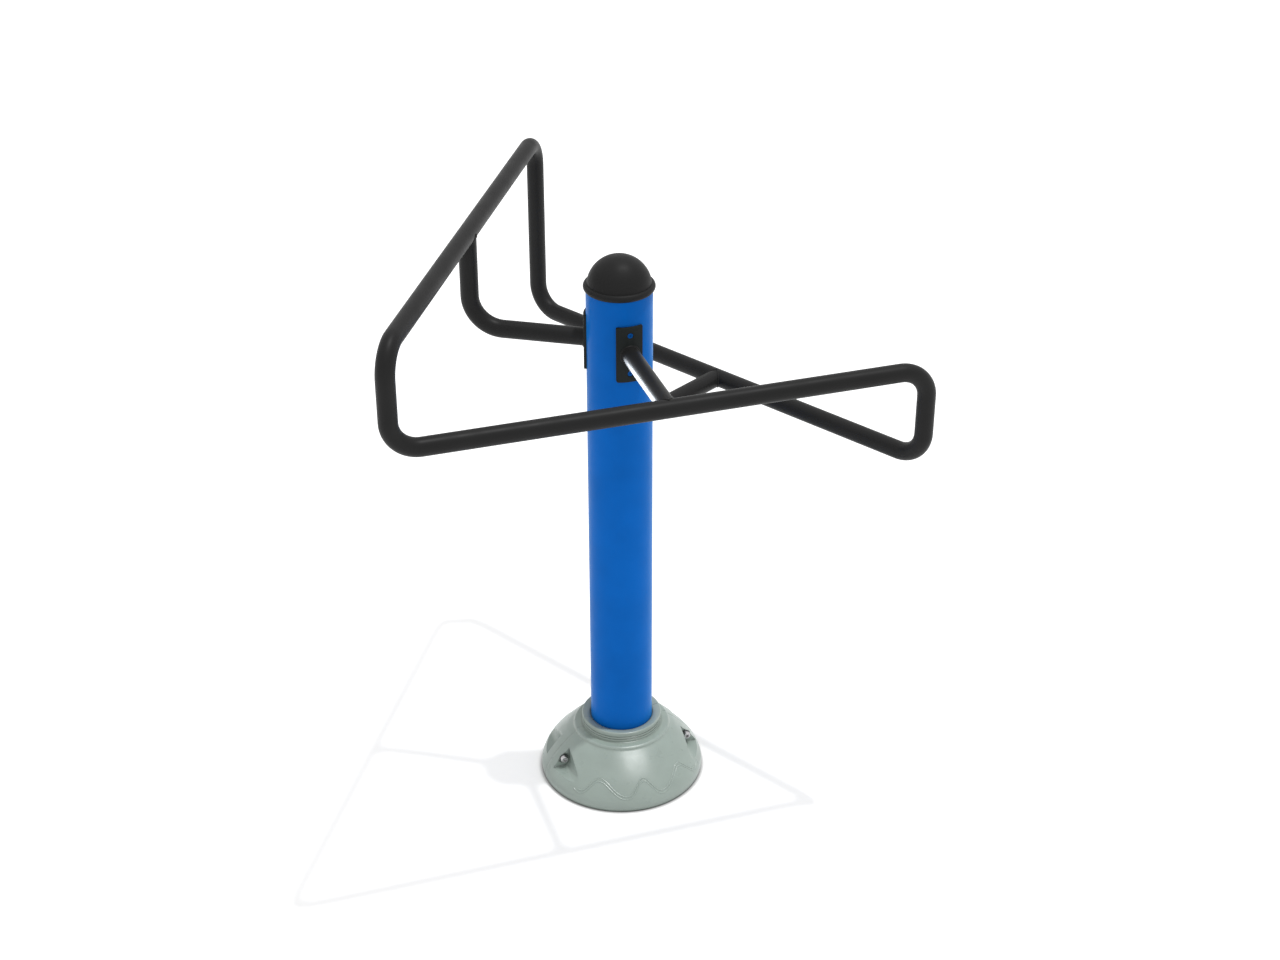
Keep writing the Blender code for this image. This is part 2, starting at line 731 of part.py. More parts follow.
def cover_outline():
    """The cover's outer side, from the lip of its collar down to its rim."""
    lip = COLLAR_INNER_TOP + COLLAR_RISE
    lip_centre = (COLLAR_RADIUS - COLLAR_LIP_ROUND, lip - COLLAR_LIP_ROUND)
    outline = arc(lip_centre, COLLAR_LIP_ROUND, pi / 2, 0.0, ROUND_STEPS)
    for drop in COLLAR_GROOVE_DROPS:
        outline += [
            (COLLAR_RADIUS, lip - drop),
            (COLLAR_RADIUS - COLLAR_GROOVE_DEPTH, lip - drop - COLLAR_GROOVE_WIDTH / 2),
            (COLLAR_RADIUS, lip - drop - COLLAR_GROOVE_WIDTH),
        ]
    shoulder = COLLAR_RADIUS + SHOULDER_WIDTH
    outline.append((COLLAR_RADIUS, SHOULDER_HEIGHT))
    shoulder_centre = (shoulder - SHOULDER_ROUND, SHOULDER_HEIGHT - SHOULDER_ROUND)
    outline += arc(shoulder_centre, SHOULDER_ROUND, pi / 2, 0.0, ROUND_STEPS)
    outline.append((shoulder, SHOULDER_HEIGHT - (SHOULDER_DROP + SHOULDER_ROUND) / 2))
    outline += bell_outline()
    outline.append((RIM_RADIUS - RIM_TUCK, 0.0))
    return outline


def cover_hollow():
    """The space inside the cover's wall, from its ceiling to below the ground."""
    collar = COLLAR_RADIUS - COVER_WALL
    shoulder = collar + SHOULDER_WIDTH
    ceiling = COLLAR_INNER_TOP - COVER_WALL
    step = SHOULDER_HEIGHT - SHOULDER_DROP - COVER_WALL
    rim = RIM_RADIUS - RIM_TUCK - COVER_WALL
    bell = [point for point in inset(bell_outline(), COVER_WALL) if point[1] < step]
    return [
        (0.0, ceiling), (collar, ceiling), (collar, SHOULDER_HEIGHT - COVER_WALL),
        (shoulder, SHOULDER_HEIGHT - COVER_WALL), (shoulder, step),
    ] + bell + [(rim, 0.0), (rim, -CUT_OVERRUN), (0.0, -CUT_OVERRUN)]


def notch(x_side, y_side, grow):
    """A corner notch, rounded where its floor meets its flank, grown by a wall."""
    flank, back, floor = NOTCH_FLANK - grow, NOTCH_BACK - grow, NOTCH_FLOOR - grow
    far = RIM_RADIUS + CUT_OVERRUN
    top = COLLAR_INNER_TOP + CUT_OVERRUN
    across = sorted((x_side * flank, x_side * far))
    along = sorted((y_side * back, y_side * far))
    return rounded_block(
        "notch", (across[0], along[0], floor), (across[1], along[1], top), NOTCH_ROUND + grow,
        lambda first, second: (
            max(abs(first.x), abs(second.x)) < (flank + far) / 2
            and max(first.z, second.z) < (floor + top) / 2))


def clamp_bar(name, x_side, start, end, radius, sides=SCREW_SIDES, collection=CUTTERS):
    """A bar along Y on the axis of one clamp screw."""
    axis = Vector((x_side * CLAMP_X, 0.0, CLAMP_Z))
    return cylinder(name, axis + REARWARD * start, axis + REARWARD * end, radius, sides, collection)


def make_covers(material):
    top = [(0.0, COLLAR_INNER_TOP), (COVER_BORE_RADIUS, COLLAR_INNER_TOP)]
    whole = turned("cover", top + cover_outline() + [(0.0, 0.0)], COVER_SIDES)
    hollow = turned("cover_hollow", cover_hollow(), COVER_SIDES, collection=CUTTERS)
    for side, x_side in SIDES:
        for end, y_side in ENDS:
            boolean(hollow, notch(x_side, y_side, COVER_WALL))
            boolean(whole, notch(x_side, y_side, 0.0))
        boolean(hollow, clamp_bar(
            side + "_boss", x_side, -NOTCH_BACK, NOTCH_BACK, CLAMP_BOSS_RADIUS))
    boolean(whole, settled(hollow))
    boolean(whole, cylinder(
        "post_bore", UP * -CUT_OVERRUN, UP * (COLLAR_INNER_TOP + CUT_OVERRUN),
        COVER_BORE_RADIUS, POST_SIDES))
    reach = NOTCH_BACK + CUT_OVERRUN
    for side, x_side in SIDES:
        boolean(whole, clamp_bar(
            side + "_clamp_hole", x_side, -reach, NOTCH_BACK - COVER_WALL,
            CLAMP_SCREW_RADIUS + CLAMP_SCREW_CLEARANCE))
        boolean(whole, clamp_bar(
            side + "_spotface", x_side, -reach, -CLAMP_SEAT, CLAMP_SPOTFACE_RADIUS))
    whole = settled(whole)
    far = RIM_RADIUS + CUT_OVERRUN
    halves = (("cover_front", -far, -COVER_SEAM_GAP / 2), ("cover_rear", COVER_SEAM_GAP / 2, far))
    for name, low, high in halves:
        half = add_object(name, whole.data.copy())
        keep = add_bmesh(name + "_half", block((-far, low, -far), (far, high, far)), CUTTERS)
        boolean(half, keep, "INTERSECT")
        finish(half, material)
    bpy.data.objects.remove(whole, do_unlink=True)


def make_clamp_screws(material):
    seat = CLAMP_SEAT + SEAT_GAP + CLAMP_WASHER_THICKNESS + SEAT_GAP
    length = seat + NOTCH_BACK - COVER_WALL - CLAMP_TIP_CLEARANCE
    head, shank, top = CLAMP_HEAD_RADIUS, CLAMP_SCREW_RADIUS, CLAMP_HEAD_HEIGHT
    chamfer = CLAMP_HEAD_CHAMFER
    profile = [
        (0.0, top), (head - chamfer, top), (head, top - chamfer), (head, 0.0), (shank, 0.0),
        (shank, -length), (0.0, -length),
    ]
    screw = turned("screw", profile, SCREW_SIDES)
    cut_socket(screw, top, CLAMP_SOCKET_DEPTH, CLAMP_SOCKET_RADIUS)
    repeat(finish(screw, material), [
        (f"cover_screw_{side}",
         Matrix.Translation((x_side * CLAMP_X, -seat, CLAMP_Z)) @ facing(-REARWARD))
        for side, x_side in SIDES
    ])


def make_clamp_washers(material):
    start = -CLAMP_SEAT - SEAT_GAP
    end = start - CLAMP_WASHER_THICKNESS
    for side, x_side in SIDES:
        washer = clamp_bar(
            f"cover_washer_{side}", x_side, start, end, CLAMP_WASHER_RADIUS, collection=PARTS)
        boolean(washer, clamp_bar(
            side + "_washer_bore", x_side, start + CUT_OVERRUN, end - CUT_OVERRUN,
            CLAMP_SCREW_RADIUS + SEAT_GAP))
        finish(washer, material)


def build():
    blue = (0.012, 0.105, 0.42)
    black = (0.022, 0.022, 0.023)
    brown_black = (0.030, 0.027, 0.024)
    grey_green = (0.30, 0.355, 0.315)
    steel = (0.55, 0.55, 0.56)
    make_post(make_material("post_blue", blue, 0.35))
    make_base_plate(make_material("base_plate_steel", steel, 0.5, 0.8))
    make_post_weld(make_material("post_weld_steel", steel, 0.55, 0.8))
    make_gussets(make_material("gusset_steel", steel, 0.5, 0.8))
    make_cap(make_material("cap_black", black, 0.4))
    make_rails(make_material("rail_black", black, 0.35))
    make_sleeves(make_material("sleeve_steel", steel, 0.5, 0.8))
    make_arms(make_material("arm_black", black, 0.35), make_material("weld_black", black, 0.45))
    for name, angle, height in PLATES:
        make_plate(name, angle, height, make_material(name + "_black", brown_black, 0.55))
    make_plate_screws(make_material("plate_screw_blue", blue, 0.4))
    make_rivet_nuts(make_material("rivet_nut_steel", steel, 0.45, 0.9))
    make_covers(make_material("cover_grey_green", grey_green, 0.45))
    make_clamp_screws(make_material("clamp_screw_steel", steel, 0.35, 0.9))
    make_clamp_washers(make_material("clamp_washer_steel", steel, 0.4, 0.9))


build()
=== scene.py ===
"""Looks of the double stretching post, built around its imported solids.

Metres, in the frame of the solids: +Z up, the origin on the ground at the post's axis, and the
front arm along -Y.
"""

from functools import cache
from math import asin, cos, pi, radians, sin, sqrt, tan

import bmesh
import bpy
from mathutils import Matrix, Vector


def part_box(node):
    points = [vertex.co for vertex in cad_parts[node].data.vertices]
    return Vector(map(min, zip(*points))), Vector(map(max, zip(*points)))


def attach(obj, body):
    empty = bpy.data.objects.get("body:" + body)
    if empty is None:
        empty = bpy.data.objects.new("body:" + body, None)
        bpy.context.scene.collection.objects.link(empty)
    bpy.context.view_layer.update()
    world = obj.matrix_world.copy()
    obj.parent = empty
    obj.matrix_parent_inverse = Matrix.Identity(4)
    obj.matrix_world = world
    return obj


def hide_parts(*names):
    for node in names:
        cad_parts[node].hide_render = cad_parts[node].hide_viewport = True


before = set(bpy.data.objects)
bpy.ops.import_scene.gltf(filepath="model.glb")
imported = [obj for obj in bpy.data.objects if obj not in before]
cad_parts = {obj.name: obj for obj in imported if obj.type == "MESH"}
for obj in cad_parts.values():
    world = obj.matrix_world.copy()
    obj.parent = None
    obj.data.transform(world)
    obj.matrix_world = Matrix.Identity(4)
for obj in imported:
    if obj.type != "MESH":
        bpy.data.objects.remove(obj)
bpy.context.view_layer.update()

MM = 0.001

# Sizes read from the frame
POST_LOW, POST_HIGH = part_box("post_tube")
POST_RADIUS = POST_HIGH.x
POST_FOOT = POST_LOW.z
POST_TOP = POST_HIGH.z
CAP_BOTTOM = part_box("post_cap")[0].z

# Post, handrail and saddle plates
SEAT_GAP = 0.3 * MM
OVERRUN = 20.0 * MM
POST_WALL = 3.0 * MM
TUBE_RADIUS = 15.9 * MM
TUBE_WALL = 2.5 * MM
RAIL_APOTHEM = 262.7 * MM
MIDDLE_RAIL_HEIGHT = 900.0 * MM
RAIL_HEIGHT_STEP = 172.0 * MM
RAIL_BEND_RADIUS = 50.0 * MM
ARM_BEND_RADIUS = 58.0 * MM
PLATE_WIDTH = 46.0 * MM
PLATE_HEIGHT = 102.0 * MM
PLATE_THICKNESS = 4.0 * MM
PLATE_CORNER_RADIUS = 2.5 * MM
PLATE_EDGE_ROUND = 0.5 * MM
PLATE_HOLE_RISE = 35.3 * MM
PLATE_COUNTERBORE_RADIUS = 5.2 * MM
PLATE_LEDGE = 1.6 * MM
PLATE_SCREW_RADIUS = 3.0 * MM
PLATE_SCREW_CLEARANCE = 0.3 * MM
PLATE_SCREW_HEAD_HEIGHT = 1.3 * MM
PLATE_SCREW_CHAMFER = PLATE_SCREW_HEAD_HEIGHT / 4
PLATE_SCREW_LENGTH = 13.0 * MM
PLATE_SCREW_SOCKET_RADIUS = 1.8 * MM
PLATE_SCREW_SOCKET_DEPTH = 0.8 * MM
RIVET_NUT_RADIUS = 4.6 * MM
PLATE_WELD_RADIUS = 2.2 * MM
RAIL_WELD_RADIUS = 1.7 * MM
WELD_RIPPLE_SHARE = 0.07

# Cap
CAP_DOME_STEP = 1.2 * MM
CAP_DOME_LIFT = 4.6 * MM
CAP_BEAD_RADIUS = 6.6 * MM
CAP_BEAD_OVERHANG = 4.4 * MM
CAP_WALL = 3.0 * MM
CAP_PLUG_CHAMFER = 2.0 * MM
CAP_GROOVE_ANGLE = radians(70.0)

# Foot cover
COVER_WALL = 3.0 * MM
COVER_BORE_RADIUS = POST_RADIUS + 0.7 * MM
COVER_SEAM_GAP = 0.3 * MM
COVER_SEAM_ROUND = 0.4 * MM
COLLAR_RADIUS = POST_RADIUS + 17.0 * MM
COLLAR_INNER_TOP = 119.7 * MM
COLLAR_LIP = 123.3 * MM
COLLAR_LIP_ROUND = 2.0 * MM
COLLAR_BORE_ROUND = 0.8 * MM
COLLAR_BORE_BULGE = COLLAR_BORE_ROUND / 3
COLLAR_FOOT_ROUND = 1.6 * MM
COLLAR_GROOVE_DEPTH = 1.4 * MM
COLLAR_GROOVE_WIDTH = 2.6 * MM
COLLAR_GROOVE_DROPS = (8.2 * MM, 13.4 * MM)
SHOULDER_HEIGHT = 102.0 * MM
SHOULDER_RADIUS = COLLAR_RADIUS + 16.0 * MM
SHOULDER_ROUND = 4.5 * MM
SHOULDER_DROP = 9.0 * MM
BELL_STEP = 4.5 * MM
RIM_RADIUS = 152.3 * MM
RIM_HEIGHT = 12.0 * MM
RIM_TUCK = 2.2 * MM
RIM_BULGE = RIM_TUCK / 3
BELL_HANDLE_SHARES = ((0.40, 0.255), (1.0, 0.727))
NOTCH_FLANK = 110.0 * MM
NOTCH_BACK = 22.5 * MM
NOTCH_FLOOR = 37.0 * MM
NOTCH_ROUND = 15.0 * MM

# Wavy double line moulded on the cover's bell
WAVE_LOW = 28.0 * MM
WAVE_HIGH = 54.0 * MM
WAVE_SPACING = 5.0 * MM
WAVE_RIDGE_RADIUS = 1.5 * MM
WAVE_SINK = 0.95 * MM
WAVE_FADE = 9.0 * MM
WAVE_TIP_SHARE = 0.05
WAVE_MARGIN = 3.0 * MM

# Screws that clamp the cover's halves
CLAMP_X = 121.5 * MM
CLAMP_Z = 55.5 * MM
CLAMP_SEAT = 21.0 * MM
CLAMP_BOSS_RADIUS = 8.5 * MM
CLAMP_SPOTFACE_RADIUS = 11.0 * MM
CLAMP_SCREW_RADIUS = 4.0 * MM
CLAMP_SCREW_CLEARANCE = 0.4 * MM
CLAMP_TIP_CLEARANCE = 2.5 * MM
CLAMP_HEAD_RADIUS = 6.5 * MM
CLAMP_HEAD_HEIGHT = 8.0 * MM
CLAMP_HEAD_CHAMFER = 0.8 * MM
CLAMP_KNURL_DEPTH = 0.12 * MM
CLAMP_SOCKET_RADIUS = 3.46 * MM
CLAMP_SOCKET_DEPTH = 4.0 * MM
CLAMP_WASHER_RADIUS = 8.0 * MM
CLAMP_WASHER_THICKNESS = 1.6 * MM
CLAMP_WASHER_CHAMFER = 0.3 * MM

# Roundness of the meshes, as counts of sides and steps
POST_SIDES = 128
TUBE_SIDES = 48
COVER_SIDES = 120
SCREW_SIDES = 72
HOLE_SIDES = 48
HEX_SIDES = 6
BEND_STEPS = 18
BELL_STEPS = 14
DOME_STEPS = 32
BEAD_STEPS = 20
ROUND_STEPS = 8
GROOVE_STEPS = 10
WELD_RIPPLES = 40
WELD_POINTS_PER_RIPPLE = 5
WELD_SIDES = 12
RIDGE_SIDES = 10
WAVE_POINTS = 720
WAVE_FEWEST_POINTS = 20
PLATE_EDGE_STEPS = 3
SEAM_EDGE_STEPS = 2
CIRCLE_PROFILE = 0.5

# Directions and angles
FRONT = radians(-90.0)
RIGHT = radians(30.0)
LEFT = radians(150.0)
CORNER_HALF_ANGLE = radians(60.0)
UP = Vector((0.0, 0.0, 1.0))
REARWARD = Vector((0.0, 1.0, 0.0))
ORIGIN = Vector((0.0, 0.0, 0.0))
SMOOTH_ANGLE = radians(35.0)
WAVE_PERIOD = radians(36.0)
WAVE_FALL = radians(13.5)

# Distance at which two points are one
MERGE_DISTANCE = 0.001 * MM

# Colours
LIGHT_BLUE = (0.05, 0.50, 1.0)
BLUE = (0.0020, 0.121, 0.505)
BLACK = (0.0130, 0.0130, 0.0130)
CAP_BLACK = (0.0160, 0.0160, 0.0160)
PLATE_BLACK = (0.0160, 0.0195, 0.0190)
GREY_GREEN = (0.300, 0.360, 0.326)
STEEL = (0.56, 0.55, 0.56)
# Steel darkened as painted shade, for the washers that sit in the shadowed spotfaces
WASHER_PAINTED_SHADE_STEEL = (0.13, 0.14, 0.14)
ZINC = (0.50, 0.51, 0.52)

# Finishes: grains in metres, drifts of colour as shares and drifts of roughness as steps
PLAIN_DETAIL, DETAIL, RICH_DETAIL = 2.0, 3.0, 4.0
TINT_SPAN = (0.35, 0.65)
GLOSS_SPAN = (0.3, 0.7)
PAINT_TINT_GRAIN = 90.0 * MM
PAINT_TINT_DRIFT = (0.94, 1.06)
PAINT_GLOSS_GRAIN = 35.0 * MM
PAINT_GLOSS_DRIFT = (-0.04, 0.05)
PAINT_PEEL_GRAIN = 2.6 * MM
PAINT_FINE_GRAIN = 0.5 * MM
PAINT_FINE_DIVISOR = 6
PLASTIC_TINT_GRAIN = 60.0 * MM
PLASTIC_TINT_DRIFT = (0.96, 1.04)
PLASTIC_GLOSS_GRAIN = 18.0 * MM
PLASTIC_GLOSS_DRIFT = (-0.05, 0.06)
PLASTIC_FLOW_STRETCH = (1.0, 1.0, 2.5)
PLASTIC_FLOW_GRAIN = 14.0 * MM
PLASTIC_FLOW_FACTOR = 3
PLASTIC_FINE_GRAIN = 0.7 * MM
PLASTIC_FINE_HEIGHT = 0.02 * MM
STEEL_MARK_STRETCH = (1.0, 6.0, 1.0)
STEEL_TINT_GRAIN = 5.0 * MM
STEEL_TINT_DRIFT = (0.85, 1.0)
STEEL_GLOSS_GRAIN = 1.2 * MM
STEEL_GLOSS_DRIFT = (-0.08, 0.12)
STEEL_MARK_GRAIN = 0.35 * MM
STEEL_MARK_DEPTH = 0.02 * MM
ZINC_SPANGLE_GRAIN = 9.0 * MM
ZINC_TINT_SPAN = (0.0, 1.0)
ZINC_TINT_DRIFT = (0.75, 1.15)
ZINC_GLOSS_GRAIN = 4.0 * MM
ZINC_GLOSS_DRIFT = (-0.10, 0.15)
ZINC_RIPPLE_GRAIN = 3.0 * MM
ZINC_RIPPLE_DEPTH = 0.06 * MM
POST_SHEEN = 0.28
# Share of the post's blue on the plate screws' heads: painted shade, as the heads sit in shadow in
# their counterbores
SCREW_PAINTED_SHADE = 0.72
NOTCH_EDGE_SHINE = 2.5 * MM
# Reaches of the painted shade that darkens the cover's grooves, seam and notches, and round the screw
# heads
COVER_PAINTED_SHADE_REACH = 4.0 * MM
SCREW_PAINTED_SHADE_REACH = 3.0 * MM

# Camera
CAMERA_PLACE = Vector((-0.9693, -3.0948, 2.4952))
CAMERA_AIM = Vector((0.0368, 0.0002, 0.6173))
CAMERA_LENS = 59.5
CAMERA_SENSOR = 36.0

# Floor and sky
FLOOR_HALF = 40.0
FLOOR_WHITE = 0.9
FLOOR_ROUGHNESS = 0.9
FLOOR_GLOW = 0.37
# Painted contact shadow: the floor's colour darkens with ambient occlusion close to the pieces
PAINTED_SHADOW_REACH = 0.012
PAINTED_SHADOW_DARK = 0.2
PAINTED_SHADOW_FADE = (0.4, 0.9)
SKY_LEVEL = 0.7
WHITE = (1.0, 1.0, 1.0, 1.0)

# Lamps: the sun, and one each for the shine of the front arm, of the wave and of the cover
KEY_PLACE = Vector((0.2038, -0.0481, 1.0)) * 3
KEY_ANGLE = radians(1.9)
KEY_LEVEL = 0.5
ARM_LAMP_PLACE = Vector((-0.70, 1.18, 0.28))
ARM_LAMP_AIM = Vector((0.0, -0.1, 0.85))
ARM_LAMP_SIZE = 0.55
ARM_LAMP_POWER = 85.0
ARM_LAMP_COLOUR = (0.86, 0.93, 1.0)
WAVE_LAMP_PLACE = Vector((1.40, -0.51, 2.13))
WAVE_LAMP_SIZE = 0.6
WAVE_LAMP_POWER = 150.0
COVER_LAMP_PLACE = Vector((0.41, -1.54, 2.54))
COVER_LAMP_SIZE = 1.5
COVER_LAMP_POWER = 75.0
COVER_AIM = Vector((0.0, 0.0, 0.1))

# Handrail and plates, worked out from the sizes above
LOW_RAIL_HEIGHT = MIDDLE_RAIL_HEIGHT - RAIL_HEIGHT_STEP
HIGH_RAIL_HEIGHT = MIDDLE_RAIL_HEIGHT + RAIL_HEIGHT_STEP
PLATE_INNER_RADIUS = POST_RADIUS + SEAT_GAP
PLATE_OUTER_RADIUS = PLATE_INNER_RADIUS + PLATE_THICKNESS
CAP_DOME_RADIUS = POST_RADIUS - CAP_DOME_STEP
CAP_UNDERSIDE = POST_TOP + SEAT_GAP
RAILS = (
    (FRONT, MIDDLE_RAIL_HEIGHT), (RIGHT, LOW_RAIL_HEIGHT), (LEFT, HIGH_RAIL_HEIGHT),
)
ARMS = (
    ("front", FRONT, MIDDLE_RAIL_HEIGHT, MIDDLE_RAIL_HEIGHT),
    ("right", RIGHT, LOW_RAIL_HEIGHT, LOW_RAIL_HEIGHT),
    ("left", LEFT, MIDDLE_RAIL_HEIGHT, HIGH_RAIL_HEIGHT),
)
SIDES = (("left", -1), ("right", 1))
LEVELS = (("lower", -1), ("upper", 1))
NOTCH_CORNERS = ((-1, -1), (-1, 1), (1, -1), (1, 1))


# Mesh helpers

def outward(angle):
    return Vector((cos(angle), sin(angle), 0.0))


def sideways(angle):
    return Vector((-sin(angle), cos(angle), 0.0))


def turn_angles(sides):
    return [2.0 * pi * step / sides for step in range(sides)]


def ring(centre, across, above, radius, sides):
    """Points of a circle about a centre, in the plane of two directions."""
    return [centre + (across * cos(a) + above * sin(a)) * radius for a in turn_angles(sides)]


def skin(rings, closed=False, caps=False):
    """A surface through rings with like numbers of points."""
    shape = bmesh.new()
    loops = [[shape.verts.new(point) for point in points] for points in rings]
    pairs = list(zip(loops, loops[1:]))
    if closed:
        pairs.append((loops[-1], loops[0]))
    for near, far in pairs:
        for index in range(len(near)):
            after = (index + 1) % len(near)
            shape.faces.new((near[index], near[after], far[after], far[index]))
    if caps:
        shape.faces.new(loops[0])
        shape.faces.new(loops[-1])
    return cleaned(shape)


def cleaned(shape):
    """The shape with its doubled points merged and its faces turned outwards."""
    bmesh.ops.remove_doubles(shape, verts=shape.verts, dist=MERGE_DISTANCE)
    bmesh.ops.recalc_face_normals(shape, faces=shape.faces)
    return shape


def lathe(profile, sides, closed=False):
    """A profile of (radius, height) points, turned about Z."""
    turns = turn_angles(sides)
    rings = [[Vector((r * cos(a), r * sin(a), z)) for a in turns] for r, z in profile]
    return skin(rings, closed)


def in_scene(name, data):
    """A new object with the data, in the scene."""
    obj = bpy.data.objects.new(name, data)
    bpy.context.scene.collection.objects.link(obj)
    return obj


def mesh_of(name, shape):
    """A mesh from a shape, which is used up."""
    mesh = bpy.data.meshes.new(name)
    shape.to_mesh(mesh)
    shape.free()
    return mesh


def add_object(name, shape):
    return in_scene(name, mesh_of(name, shape))


def add_part(whole, part):
    """Put a part's faces into a whole shape. The part is used up."""
    mesh = mesh_of("part", part)
    whole.from_mesh(mesh)
    bpy.data.meshes.remove(mesh)


def settle(obj):
    """Work the object's modifiers into its mesh."""
    depsgraph = bpy.context.evaluated_depsgraph_get()
    mesh = bpy.data.meshes.new_from_object(obj.evaluated_get(depsgraph))
    obj.modifiers.clear()
    obj.data = mesh


def boolean(target, *tools, operation="DIFFERENCE"):
    """The target cut by each tool, or kept inside it. The tools are used up."""
    for tool in tools:
        modifier = target.modifiers.new("cut", "BOOLEAN")
        modifier.operation = operation
        modifier.solver = "EXACT"
        modifier.object = tool
    settle(target)
    for tool in tools:
        bpy.data.objects.remove(tool, do_unlink=True)
    return target


def soften(obj, width, steps, picks):
    """Round the sharp edges that a test picks by their two ends."""
    mesh = obj.data
    shape = bmesh.new()
    shape.from_mesh(mesh)
    weights = shape.edges.layers.float.new("bevel_weight_edge")
    for edge in shape.edges:
        sharp = len(edge.link_faces) == 2 and edge.calc_face_angle() > SMOOTH_ANGLE
        edge[weights] = float(sharp and picks(edge.verts[0].co, edge.verts[1].co))
    shape.to_mesh(mesh)
    shape.free()
    bevel = obj.modifiers.new("soften", "BEVEL")
    bevel.limit_method = "WEIGHT"
    bevel.width = width
    bevel.segments = steps
    bevel.use_clamp_overlap = False
    settle(obj)


def facing(direction):
    """Rotation that turns +Z to a direction."""
    return direction.to_track_quat("Z", "Y").to_matrix().to_4x4()


def rod(name, start, end, radius, sides=HOLE_SIDES):
    """A closed round bar between two points."""
    axis = (end - start).normalized()
    across = axis.orthogonal().normalized()
    above = axis.cross(across)
    rings = [ring(place, across, above, radius, sides) for place in (start, end)]
    return add_object(name, skin(rings, caps=True))


def block(name, low, high, radius=0.0, picks=None):
    """A closed block, rounded at the edges whose two ends a test picks."""
    low, high = Vector(low), Vector(high)
    shape = bmesh.new()
    bmesh.ops.create_cube(shape, size=1.0)
    bmesh.ops.scale(shape, vec=high - low, verts=shape.verts)
    bmesh.ops.translate(shape, vec=(low + high) / 2, verts=shape.verts)
    if picks:
        edges = [edge for edge in shape.edges if picks(edge.verts[0].co, edge.verts[1].co)]
        bmesh.ops.bevel(
            shape, geom=edges, offset=radius, segments=ROUND_STEPS, profile=CIRCLE_PROFILE,
            affect="EDGES")
    return add_object(name, shape)


def arc(centre, radius, start, end, steps):
    """Points of a profile on a circle, from one angle to another."""
    angles = [start + (end - start) * step / steps for step in range(steps + 1)]
    return [(centre[0] + radius * cos(a), centre[1] + radius * sin(a)) for a in angles]


def bezier(start, first_handle, second_handle, end, steps):
    """Points of a profile on a cubic curve."""
    points = []
    for step in range(steps + 1):
        t = step / steps
        weights = ((1 - t) ** 3, 3 * (1 - t) ** 2 * t, 3 * (1 - t) * t ** 2, t ** 3)
        corners = (start, first_handle, second_handle, end)
        points.append(tuple(
            sum(weight * corner[axis] for weight, corner in zip(weights, corners))
            for axis in range(2)
        ))
    return points


def inset(points, distance):
    """A profile that runs down its outer side, moved inwards."""
    moved = []
    for index, point in enumerate(points):
        before = Vector(points[max(index - 1, 0)])
        after = Vector(points[min(index + 1, len(points) - 1)])
        run = (after - before).normalized()
        moved.append((point[0] + run.y * distance, point[1] - run.x * distance))
    return moved


def bent_path(corners, radius):
    """A route through corners, with each corner between two straights turned in a bend."""
    route = [corners[0]]
    for before, corner, after in zip(corners, corners[1:], corners[2:]):
        back = (before - corner).normalized()
        ahead = (after - corner).normalized()
        half = back.angle(ahead) / 2
        centre = corner + (back + ahead).normalized() * radius / sin(half)
        start = corner + back * radius / tan(half) - centre
        axis = ahead.cross(back).normalized()
        for step in range(BEND_STEPS + 1):
            spin = Matrix.Rotation((pi - 2 * half) * step / BEND_STEPS, 3, axis)
            route.append(centre + spin @ start)
    route.append(corners[-1])
    return route


def route_rings(route, across, radius):
    """Rings along a route that lies in a plane square to a direction."""
    rings = []
    for index, place in enumerate(route):
        before = route[max(index - 1, 0)]
        after = route[min(index + 1, len(route) - 1)]
        above = across.cross((after - before).normalized())
        rings.append(ring(place, across, above, radius, TUBE_SIDES))
    return rings


def landed(point, travel, centre, axis, radius):
    """The point, moved along its travel to the near side of a cylinder."""
    gap = point - centre
    gap -= axis * gap.dot(axis)
    middle = -gap.dot(travel)
    reach = radius ** 2 - (gap.length_squared - middle ** 2)
    return point + travel * (middle - sqrt(max(reach, 0.0)))


# Materials

def new_material(name, colour, roughness, metallic=0.0, specular=0.5, sheen=0.0):
    """A Principled material. Its sheen, where it has any, is light blue."""
    made = bpy.data.materials.new(name)
    made.use_nodes = True
    shader = made.node_tree.nodes["Principled BSDF"]
    shader.inputs["Base Color"].default_value = (*colour, 1.0)
    shader.inputs["Roughness"].default_value = roughness
    shader.inputs["Metallic"].default_value = metallic
    shader.inputs["Specular IOR Level"].default_value = specular
    shader.inputs["Sheen Weight"].default_value = sheen
    shader.inputs["Sheen Tint"].default_value = (*LIGHT_BLUE, 1.0)
    return made


def texture_place(material, stretch=(1.0, 1.0, 1.0)):
    """Object coordinates, stretched along the axes."""
    nodes, links = material.node_tree.nodes, material.node_tree.links
    place = nodes.new("ShaderNodeTexCoord")
    mapping = nodes.new("ShaderNodeMapping")
    mapping.inputs["Scale"].default_value = stretch
    links.new(place.outputs["Object"], mapping.inputs["Vector"])
    return mapping.outputs["Vector"]


def noise(material, place, grain, detail=DETAIL):
    """Noise whose grains have a size in metres."""
    made = material.node_tree.nodes.new("ShaderNodeTexNoise")
    made.inputs["Scale"].default_value = 1.0 / grain
    made.inputs["Detail"].default_value = detail
    material.node_tree.links.new(place, made.inputs["Vector"])
    return made.outputs["Fac"]


def shade(colour, amount):
    return tuple(part * amount for part in colour)


def colour_between(material, factor, span, *colours):
    """A colour that goes from one to another while a factor goes through a span."""
    made = material.node_tree.nodes.new("ShaderNodeValToRGB")
    for element, place, colour in zip(made.color_ramp.elements, span, colours):
        element.position = place
        element.color = (*colour, 1.0)
    material.node_tree.links.new(factor, made.inputs["Fac"])
    return made.outputs["Color"]


def value_between(material, factor, start, end, low, high):
    """A value that goes from low to high while a factor goes from start to end."""
    made = material.node_tree.nodes.new("ShaderNodeMapRange")
    sockets = ("From Min", "From Max", "To Min", "To Max")
    for socket, value in zip(sockets, (start, end, low, high)):
        made.inputs[socket].default_value = value
    material.node_tree.links.new(factor, made.inputs["Value"])
    return made.outputs["Result"]


